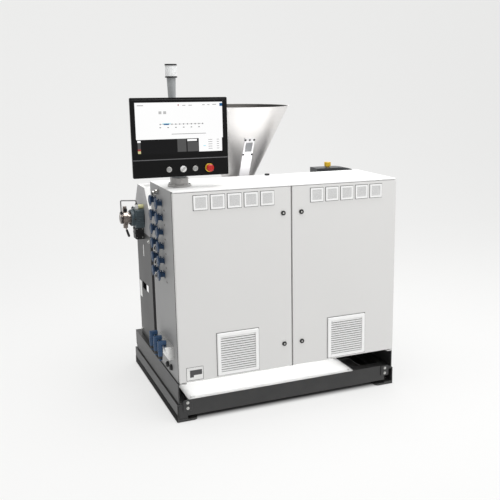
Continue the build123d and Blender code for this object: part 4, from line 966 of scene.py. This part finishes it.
for first in range(len(outline)):
    after = (first + 1) % len(outline)
    cover_shape.faces.new((rings[0][first], rings[0][after], rings[1][after], rings[1][first]))
for ring, first in product(rings, range(len(cover_line) - 1)):
    cover_shape.faces.new((ring[first], ring[first + 1], ring[-2 - first], ring[-1 - first]))
finish_piece("guard_painted_light_sheet", cover_shape, lit_cover_coat)
guard_plate = bmesh.new()
guard_crown, guard_plate_sheet = guard_high.z + cover_sheet, 0.0008
crown_first, crown_second = (-0.640, 0.245), (-0.560, 0.335)
slab(guard_plate, (*crown_first, guard_crown), (*crown_second, guard_crown + guard_plate_sheet), 0.0003)
finish_piece("guard_blank_plate", guard_plate, plate_metal)


# Barrel: a nitrided steel tube under four heater bands. Each band is a split sheet shell drawn
# tight by a bolt through its two ears.
barrel_steel = bright("barrel_steel", (0.42, 0.40, 0.38), 0.38, stretch=(500.0, 60.0, 60.0), tint=0.10)
dress(barrel_steel, "barrel", "feed_section")
band_clamps = bmesh.new()
barrel_low, barrel_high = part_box("barrel")
axis_y, axis_z = (barrel_low.y + barrel_high.y) / 2, (barrel_low.z + barrel_high.z) / 2
band_count, band_margin, band_gap = 4, 0.040, 0.025
ear_half, ear_inner, ear_outer, ear_top, ear_drop = 0.030, 0.006, 0.010, 0.002, 0.016
band_bolt, band_bolt_drop = 0.008, 0.008
band_pitch = (barrel_high.x - barrel_low.x - 2 * band_margin + band_gap) / band_count
for number in range(band_count):
    band_middle = barrel_low.x + band_margin + (number + 0.5) * band_pitch - band_gap / 2
    for side in (-1, 1):
        slab(band_clamps, (band_middle - ear_half, axis_y + side * ear_inner, barrel_low.z + ear_top),
             (band_middle + ear_half, axis_y + side * ear_outer, barrel_low.z - ear_drop), 0.001)
        bolt_place = (band_middle, axis_y + side * ear_outer, barrel_low.z - band_bolt_drop)
        hexagon_bolt(band_clamps, bolt_place, (0, side, 0), band_bolt)
finish_piece("heater_band_clamps", band_clamps, zinc)


# Die block: a steel block in ribbed blue-grey heater plates, with a round adapter in front.
# Eight bolts hold the adapter's end and four draw it onto the block.
block_paint = coated("block_paint", (0.075, 0.105, 0.120), 0.42, grain=300.0, patch=0.18,
                     worn=(0.2, 0.23, 0.25), wear=0.5)
dress(block_paint, "die_block")
heater_ribs, adapter_ring, adapter_bolts = bmesh.new(), bmesh.new(), bmesh.new()
block_low, block_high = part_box("die_block")
block_length, rib_total, rib_rise, rib_margin, rib_offset = 0.055, 9, 0.0055, 0.007, 0.25
rib_front_gap, rib_rear_gap, rib_sink, rib_depth = 0.006, 0.003, 0.001, 0.003
block_face = block_high.x - block_length
rib_pitch = (block_high.z - block_low.z - 2 * rib_margin) / rib_total
for number in range(rib_total):
    rib_low = block_low.z + rib_margin + (number + rib_offset) * rib_pitch
    for side, face_y in ((-1, block_low.y), (1, block_high.y)):
        slab(heater_ribs, (block_face + rib_front_gap, face_y - side * rib_sink, rib_low),
             (block_high.x - rib_rear_gap, face_y + side * rib_depth, rib_low + rib_rise), 0.001)
finish_piece("heater_plate_ribs", heater_ribs, block_paint)
adapter_length = block_face - block_low.x
adapter_end, adapter_face = block_low.x - 0.0006, (block_face, axis_y, axis_z)
ring = [(0.0500, 0.0), (0.0525, 0.001), (0.0525, adapter_length - 0.002), (0.0505, adapter_length + 0.0006)]
ring += [(0.0312, adapter_length + 0.0006), (0.0306, adapter_length - 0.0004)]
turned(adapter_ring, adapter_face, leftward, ring, 48)
finish_piece("adapter_ring", adapter_ring, block_paint)
adapter_bolt, adapter_circle, adapter_count, block_circle, block_count = 0.010, 0.0415, 8, 0.066, 4
for centre, circle, count in (((adapter_end, axis_y, axis_z), adapter_circle, adapter_count),
                              (adapter_face, block_circle, block_count)):
    bolt_circle(adapter_bolts, centre, leftward, circle, count, adapter_bolt, math.pi / count)
finish_piece("adapter_bolts", adapter_bolts, lock_black)


# Outlet and clamp: a machined steel pipe, browned by heat, and the split collar that grips it.
# The swing bolt closes the collar, and a dark lever hangs below.
outlet_steel = bright("outlet_steel", (0.46, 0.40, 0.36), 0.30, stretch=(700.0, 80.0, 80.0), tint=0.16)
dress(outlet_steel, "outlet_flange", "die_clamp")
outlet_rings, lever_grip = bmesh.new(), bmesh.new()
outlet_low, outlet_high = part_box("outlet_flange")
outlet_end, rightward = (outlet_low.x, axis_y, axis_z), (1, 0, 0)
pipe_radius = (outlet_high.z - outlet_low.z) / 2
lip_starts, lip_foot, lip_crown = (0.002, 0.010), pipe_radius - 0.0002, pipe_radius + 0.004
for start in lip_starts:
    lip = [(lip_foot, start), (lip_crown, start + 0.0012)]
    lip += [(lip_crown, start + 0.0052), (lip_foot, start + 0.0064)]
    turned(outlet_rings, outlet_end, rightward, lip, 36)
bore_lip = [(0.0098, 0.0), (0.0185, -0.0001), (0.0210, -0.0001), (0.0212, 0.001)]
turned(outlet_rings, outlet_end, rightward, bore_lip, 32)
finish_piece("outlet_end_rings", outlet_rings, lock_black)
lever_tilt, lever_x, lever_z = math.radians(17), -0.770, 0.990
lever_along = Vector((math.sin(lever_tilt), 0, -math.cos(lever_tilt)))
grip_profile = [(0.0056, 0.018), (0.0068, 0.020), (0.0078, 0.050)]
grip_profile += [(0.0074, 0.062), (0.0050, 0.0672), (0.0, 0.068)]
turned(lever_grip, (lever_x, axis_y, lever_z), lever_along, grip_profile, 20)
swing_nut, swing_reach, swing_rise = 0.011, 0.0128, 0.0525
for side in (-1, 1):
    nut_place = (lever_x, axis_y + side * swing_reach, axis_z + swing_rise)
    hexagon_bolt(lever_grip, nut_place, (0, side, 0), swing_nut)
finish_piece("clamp_grip_and_nuts", lever_grip, lock_black)


# Melt sensor: a pale moulded head with a yellow round cap on top of the block, joined to the
# outlet by a bent steel tube with a black nut at each end.
sensor_cream = coated("sensor_cap", (0.72, 0.70, 0.36), 0.3, grain=400.0, patch=0.05, edge=0.0008)
sensor_white = coated("sensor_head_white", (0.80, 0.80, 0.78), 0.35, grain=400.0, patch=0.03, edge=0.0008)
stem_armour = bright("stem_armour", (0.20, 0.20, 0.20), 0.42, stretch=(700.0, 700.0, 700.0), tint=0.3)
dress(sensor_cream, "melt_sensor")
sensor_head, stem_nuts = bmesh.new(), bmesh.new()
head_lap, head_gap, head_length = 0.0004, 0.001, 0.0144
sensor_low, sensor_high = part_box("melt_sensor")
head_top = sensor_high.z + head_lap
slab(sensor_head, (sensor_low.x - head_lap, sensor_low.y - head_lap, sensor_low.z + head_gap),
     (sensor_low.x + head_length, sensor_high.y + head_lap, head_top), 0.0012)
finish_piece("sensor_head_cover", sensor_head, sensor_white)
foot_nut, foot_reach, foot_rise, head_nut, head_reach = 0.012, 0.0085, 0.004, 0.011, 0.007
stem_foot = Vector((outlet_low.x + foot_reach, axis_y, outlet_high.z + foot_rise))
stem_head = Vector((sensor_low.x + head_reach, (sensor_low.y + sensor_high.y) / 2, head_top))
hexagon_bolt(stem_nuts, stem_foot, upward, foot_nut)
hexagon_bolt(stem_nuts, stem_head, upward, head_nut)
finish_piece("sensor_stem_nuts", stem_nuts, lock_black)

stem_line = bpy.data.curves.new("sensor_stem", "CURVE")
stem_line.dimensions = "3D"
stem_line.bevel_depth = 0.0038
stem_line.bevel_resolution = 4
stem_line.use_fill_caps = True
stem_run = stem_line.splines.new("NURBS")
stem_level, bend_share = 1.158, 0.18
left_corner = Vector((*stem_foot.xy, stem_level))
right_corner = Vector((*stem_head.xy, stem_level))
stem_points = [stem_foot, stem_foot.lerp(left_corner, 1 - bend_share), left_corner]
stem_points += [left_corner.lerp(right_corner, bend_share), left_corner.lerp(right_corner, 1 - bend_share)]
stem_points += [right_corner, stem_head]
stem_run.points.add(len(stem_points) - 1)
for point, place in zip(stem_run.points, stem_points):
    point.co = (*place, 1.0)
stem_run.order_u = 3
stem_run.use_endpoint_u = True
stem_run.resolution_u = 8
stem_line.materials.append(stem_armour)
sensor_stem = bpy.data.objects.new("sensor_stem", stem_line)
bpy.context.scene.collection.objects.link(sensor_stem)
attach(sensor_stem, "frame")


# Heater connector: a black moulded connector under the block, with four cover screws and a lip
# round it where its two halves meet.
dress(moulded_black, "heater_terminal_box")
connector_screws, connector_lip = bmesh.new(), bmesh.new()
cover_fixing, fixing_inset_x, fixing_inset_z, lip_reach, lip_half = 0.006, 0.010, 0.012, 0.002, 0.004
connector_low, connector_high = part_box("heater_terminal_box")
fixing_columns = spread(connector_low.x, connector_high.x, fixing_inset_x)
fixing_levels = spread(connector_low.z, connector_high.z, fixing_inset_z)
fasten(connector_screws, pan_screw, fixing_columns, [connector_low.y], fixing_levels, forward, cover_fixing)
finish_zinc("connector_screws", connector_screws)
lip_level = (connector_low.z + connector_high.z) / 2
slab(connector_lip, (connector_low.x - lip_reach, connector_low.y - lip_reach, lip_level - lip_half),
     (connector_high.x, connector_high.y + lip_reach, lip_level + lip_half), 0.0012)
finish_piece("connector_lip", connector_lip, moulded_black)


# Machine housing: a sheet-metal case behind the cabinet, painted mid grey, over the drive.
# Its rear and right sides are closed by screwed covers.
housing_paint = coated("housing_paint", (0.46, 0.46, 0.46), 0.45, patch=0.04, worn=(0.5, 0.5, 0.5), wear=0.2,
                       dust=0.08)
dress(housing_paint, "machine_housing")
housing_covers, housing_screws = bmesh.new(), bmesh.new()
cover_count, cover_gap, cover_margin, cover_thickness = 3, 0.006, 0.035, 0.0015
housing_screw, screw_inset = 0.010, 0.018
housing_low, housing_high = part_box("machine_housing")
rear_face, side_face = housing_high.y + cover_thickness, housing_high.x + cover_thickness
cover_pitch = (housing_high.x - housing_low.x - 2 * cover_margin + cover_gap) / cover_count
cover_bottom, cover_top = spread(housing_low.z, housing_high.z, cover_margin)
screw_levels = spread(cover_bottom, cover_top, screw_inset, 3)
for number in range(cover_count):
    left = housing_low.x + cover_margin + number * cover_pitch
    right = left + cover_pitch - cover_gap
    slab(housing_covers, (left, housing_high.y, cover_bottom), (right, rear_face, cover_top), 0.0005)
    fasten(housing_screws, pan_screw, spread(left, right, screw_inset), [rear_face], screw_levels, backward,
           housing_screw)
side_front, side_rear = spread(housing_low.y, housing_high.y, cover_margin)
slab(housing_covers, (housing_high.x, side_front, cover_bottom), (side_face, side_rear, cover_top), 0.0005)
side_rows = spread(side_front, side_rear, screw_inset)
fasten(housing_screws, pan_screw, [side_face], side_rows, screw_levels, rightward, housing_screw)
finish_piece("housing_covers", housing_covers, housing_paint)
finish_zinc("housing_cover_screws", housing_screws)


# Hopper: a cone rolled from stainless sheet with a seam down its back. Its collar is bolted to
# the feed section, and the sheet is brushed round the cone.
def paint_inside_shade(material, centre, tone):
    """Paints shade on the faces of a round vessel that look towards its axis: painted shade inside it."""
    tree = material.node_tree
    skin = tree.nodes["Principled BSDF"].inputs
    level_only, inward_limit = (1.0, 1.0, 0.0), -0.001
    surface = tree.nodes.new("ShaderNodeNewGeometry")
    from_centre = vector_node(tree, "SUBTRACT", object_place(tree), centre)
    from_axis = vector_node(tree, "MULTIPLY", from_centre, level_only)
    facing = vector_node(tree, "DOT_PRODUCT", from_axis, surface.outputs["Normal"])
    inside = math_node(tree, "LESS_THAN", facing, inward_limit)
    outer = skin["Base Color"].links[0].from_socket
    feed(tree, blend_colour(tree, inside, outer, tone), skin["Base Color"])


hopper_steel = bright("hopper_steel", (0.93, 0.91, 0.90), 0.42, stretch=(6.0, 6.0, 700.0), bump=0.00001,
                      tint=0.03, metal=0.93)
hopper_low, hopper_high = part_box("hopper")
hopper_x, hopper_y = (hopper_low.x + hopper_high.x) / 2, (hopper_low.y + hopper_high.y) / 2
# Painted shade: the cone's inner faces are dark.
paint_inside_shade(hopper_steel, (hopper_x, hopper_y, 0.0), (0.05, 0.048, 0.045))
dress(hopper_steel, "hopper")
hopper_bolts, seam = bmesh.new(), bmesh.new()
collar_sheet, collar_circle, collar_count, collar_bolt = 0.008, 0.080, 8, 0.010
throat_half, throat_bolt = 0.086, 0.013
collar_top, throat_top = hopper_low.z + collar_sheet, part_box("feed_section")[1].z
bolt_circle(hopper_bolts, (hopper_x, hopper_y, collar_top), upward, collar_circle, collar_count, collar_bolt)
fasten(hopper_bolts, hexagon_bolt, (hopper_x - throat_half, hopper_x + throat_half),
       (hopper_y - throat_half, hopper_y + throat_half), [throat_top], upward, throat_bolt)
finish_zinc("hopper_and_feed_bolts", hopper_bolts)
neck_radius, cone_radius, hopper_wall, seam_radius, seam_gap = 0.065, 0.337, 0.002, 0.0022, 0.004
cone_slope = Vector((0, cone_radius - neck_radius, hopper_high.z - hopper_wall - collar_top))
seam_foot = Vector((hopper_x, hopper_y + neck_radius, collar_top)) + seam_gap * cone_slope.normalized()
turned(seam, seam_foot, cone_slope, [(seam_radius, 0), (seam_radius, cone_slope.length - 2 * seam_gap)], 8)
finish_piece("hopper_seam", seam, hopper_steel)


# Sight strip: a pale blasted sheet frame saddled on the front of the cone, with a small pane near
# its upper end, so that the level of the granules can be seen. Seven black bolts hold it.
strip_sheet = bright("blasted_strip_sheet", (0.95, 0.94, 0.95), 0.5, stretch=(300.0, 300.0, 300.0), tint=0.02,
                     metal=0.15)
dress(strip_sheet, "hopper_sight_strip")
sight_bolts, pane = bmesh.new(), bmesh.new()
front_slope = Vector((0, -cone_slope.y, cone_slope.z)).normalized()
front_out = Vector((0, -front_slope.z, front_slope.y))
strip_foot = Vector((hopper_x, hopper_y - neck_radius, collar_top))
strip_face, strip_low, strip_length, sight_bolt, bolt_spread = 0.007, 0.060, 0.330, 0.007, 0.0285
top_row, lower_row, foot_row = strip_length - 0.010, strip_length - 0.116, 0.016
bolt_spots = [(side * bolt_spread, row) for row in (top_row, lower_row, foot_row) for side in (-1, 1)]
for across, along in [*bolt_spots, (0.0, top_row)]:
    spot = strip_foot + front_slope * (strip_low + along) + front_out * strip_face + Vector((across, 0, 0))
    hexagon_bolt(sight_bolts, spot, front_out, sight_bolt)
finish_piece("sight_strip_bolts", sight_bolts, lock_black)

pane_material, pane_tree, pane_skin = new_material("sight_pane")
pane_clearness, pane_rough, pane_rough_span = 0.55, 0.05, 0.1
pane_skin["Transmission Weight"].default_value = pane_clearness
pane_patches = use_group(pane_tree, paint_grain, Grain_Size=200.0)["Patches"]
pane_tone = blend_colour(pane_tree, pane_patches, (0.50, 0.51, 0.53), (0.60, 0.61, 0.62))
feed(pane_tree, pane_tone, pane_skin["Base Color"])
pane_gloss = math_node(pane_tree, "MULTIPLY_ADD", pane_patches, pane_rough_span, pane_rough)
feed(pane_tree, pane_gloss, pane_skin["Roughness"])
pane_width, pane_length, pane_inset, pane_sink, pane_depth = 0.045, 0.065, 0.0305, 0.0028, 0.0012
pane_along = front_slope * (strip_low + strip_length - pane_inset - pane_length)
pane_corner = strip_foot + pane_along + front_out * (strip_face - pane_sink)
corners = []
for depth in (0.0, pane_depth):
    for side, length in ((-1, 0.0), (1, 0.0), (1, pane_length), (-1, pane_length)):
        across = Vector((side * pane_width / 2, 0, 0))
        corners.append(pane.verts.new(pane_corner + across + front_slope * length + front_out * depth))
pane.faces.new(corners[:4])
pane.faces.new(corners[4:])
for number in range(4):
    after = (number + 1) % 4
    pane.faces.new((corners[number], corners[after], corners[after + 4], corners[number + 4]))
finish_piece("sight_pane", pane, pane_material)


# Gearbox: cast iron in dark enamel, split at a bolted flange, with two bearing caps on its right
# side and a raised case at the front. The casting's skin is slightly rough.
cast_enamel = coated("cast_enamel", (0.040, 0.043, 0.047), 0.40, grain=220.0, bump=0.0004, patch=0.12,
                     worn=(0.2, 0.2, 0.2), wear=0.3, dust=0.10, edge=0.003)
dress(cast_enamel, "gearbox")
gearbox_bolts, cap_bosses = bmesh.new(), bmesh.new()
case_right, flange_reach, flange_y, flange_top = 0.710, 0.012, 0.512, 1.162
gearbox_bolt, end_inset, next_inset = 0.010, 0.030, 0.100
gearbox_low, gearbox_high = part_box("gearbox")
case_left = gearbox_low.x + flange_reach
flange_columns = (case_left + end_inset, case_left + next_inset,
                  case_right - next_inset, case_right - end_inset)
fasten(gearbox_bolts, hexagon_bolt, flange_columns, [flange_y], [flange_top], upward, gearbox_bolt)
cap_level, cap_shift, cap_bolt_step = 1.140, 0.095, 0.0608
cap_boss = [(0.038, -0.0005), (0.036, 0.0), (0.020, -0.0002), (0.0, -0.0002)]
for cap_y in (axis_y - cap_shift, axis_y + cap_shift):
    fasten(gearbox_bolts, hexagon_bolt, [case_right], (cap_y - cap_bolt_step, cap_y + cap_bolt_step),
           (cap_level - cap_bolt_step, cap_level + cap_bolt_step), rightward, gearbox_bolt)
    turned(cap_bosses, (gearbox_high.x, cap_y, cap_level), rightward, cap_boss, 32)
finish_zinc("gearbox_bolts", gearbox_bolts)
finish_piece("bearing_cap_bosses", cap_bosses, cast_enamel)


# Breather: a yellow moulded cap, pressed on the gearbox's raised case, that lets the oil breathe.
# It is the only bright part of the drive.
breather_yellow = coated("breather_yellow", (0.72, 0.46, 0.02), 0.35, grain=400.0, patch=0.06, edge=0.0012)
dress(breather_yellow, "gearbox_breather")


# Studio: a plain pale floor that turns up into a backdrop and glows softly; its glow is left out under the
# base as a painted shadow. A large light hangs overhead and one stands at the front right. A small one
# under the cabinet lights the tray, and one behind the roof the sight strip.
floor_half, floor_front, backdrop_y, backdrop_top, bend, bend_steps = 14.0, -14.0, 7.0, 9.0, 4.0, 8
sweep = [(floor_front, 0.0), (backdrop_y - bend, 0.0)]
for step in range(1, bend_steps + 1):
    angle = math.pi / 2 * step / bend_steps
    sweep.append((backdrop_y - bend + bend * math.sin(angle), bend - bend * math.cos(angle)))
sweep.append((backdrop_y, backdrop_top))
backdrop = bmesh.new()
edge_pairs = [[backdrop.verts.new((side * floor_half, y, z)) for side in (-1, 1)] for y, z in sweep]
for first, second in zip(edge_pairs, edge_pairs[1:]):
    backdrop.faces.new((first[0], first[1], second[1], second[0]))
studio_paper = coated("studio_paper", (0.24, 0.24, 0.24), 0.9, grain=60.0, patch=0.01, shine=0.1)
paper_tree = studio_paper.node_tree
paper_skin = paper_tree.nodes["Principled BSDF"].inputs
# Painted shadow: the floor's glow fades out under the base's footprint.
footprint_half, shade_sharpness = (0.65, 0.49), 16.0
paper_place = paper_tree.nodes.new("ShaderNodeSeparateXYZ")
feed(paper_tree, object_place(paper_tree), paper_place.inputs[0])
beyond = []
for label, half in zip("XY", footprint_half):
    distance = math_node(paper_tree, "ABSOLUTE", paper_place.outputs[label])
    beyond.append(math_node(paper_tree, "SUBTRACT", distance, half))
outside = math_node(paper_tree, "MULTIPLY", math_node(paper_tree, "MAXIMUM", *beyond), shade_sharpness)
glow_outside_painted_shadow = math_node(paper_tree, "MAXIMUM", math_node(paper_tree, "MINIMUM", outside, 1.0), 0.0)
paper_glow = blend_colour(paper_tree, glow_outside_painted_shadow, (0.0, 0.0, 0.0), (1.0, 1.0, 0.99))
feed(paper_tree, paper_glow, paper_skin["Emission Color"])
paper_skin["Emission Strength"].default_value = 0.67
backdrop_mesh = bpy.data.meshes.new("studio_floor")
backdrop.to_mesh(backdrop_mesh)
backdrop.free()
backdrop_mesh.shade_smooth()
backdrop_mesh.materials.append(studio_paper)
studio_floor = bpy.data.objects.new("studio_floor", backdrop_mesh)
bpy.context.scene.collection.objects.link(studio_floor)


def soft_box(name, place, target, width, height, power, beam=180, mirrored=True):
    """A rectangular light that faces its target. Where it isn't mirrored, polished sheet doesn't show it."""
    lamp = bpy.data.lights.new(name, "AREA")
    lamp.spread = math.radians(beam)
    lamp.shape = "RECTANGLE"
    lamp.size = width
    lamp.size_y = height
    lamp.energy = power
    holder = bpy.data.objects.new(name, lamp)
    holder.location = place
    holder.rotation_euler = (Vector(target) - Vector(place)).to_track_quat("-Z", "Y").to_euler()
    holder.visible_camera = mirrored
    holder.visible_glossy = mirrored
    bpy.context.scene.collection.objects.link(holder)


soft_box("overhead_light", place=(0.2, -0.3, 4.6), target=(0, 0, 0.8), width=4.5, height=3.5, power=190)
soft_box("front_light", place=(2.6, -5.0, 3.6), target=(0, 0, 0.9), width=6.0, height=4.0, power=122)
soft_box("tray_light", place=(-0.108, -0.31, 0.226), target=(-0.108, -0.31, 0), width=1.02, height=0.42,
         power=1.45, beam=60)
soft_box("hopper_light", place=(-0.02, -0.06, 1.345), target=(-0.02, 0.14, 1.37), width=0.14, height=0.05,
         power=0.19, beam=120, mirrored=False)
studio_world = bpy.data.worlds.new("studio_world")
studio_world.use_nodes = True
sky = studio_world.node_tree.nodes["Background"].inputs
sky["Color"].default_value = (1.0, 1.0, 1.0, 1.0)
sky["Strength"].default_value = 0.40
bpy.context.scene.world = studio_world
bpy.context.scene.view_settings.view_transform = "Standard"


# Camera: at the photo's viewing angle, from the front left and a little above the operator panel.
# Its sideways shift stands for the photo's crop.
camera_lens = bpy.data.cameras.new("camera")
camera_lens.sensor_width = 36
camera_lens.lens = 55.653
camera_lens.shift_x = -0.12
camera_lens.shift_y = 0.01
camera_lens.clip_end = 100
camera = bpy.data.objects.new("camera", camera_lens)
camera.location = (-1.7097, -4.5277, 1.9025)
camera.rotation_euler = [math.radians(angle) for angle in (77.076, 0.078, -24.692)]
bpy.context.scene.collection.objects.link(camera)
bpy.context.scene.camera = camera
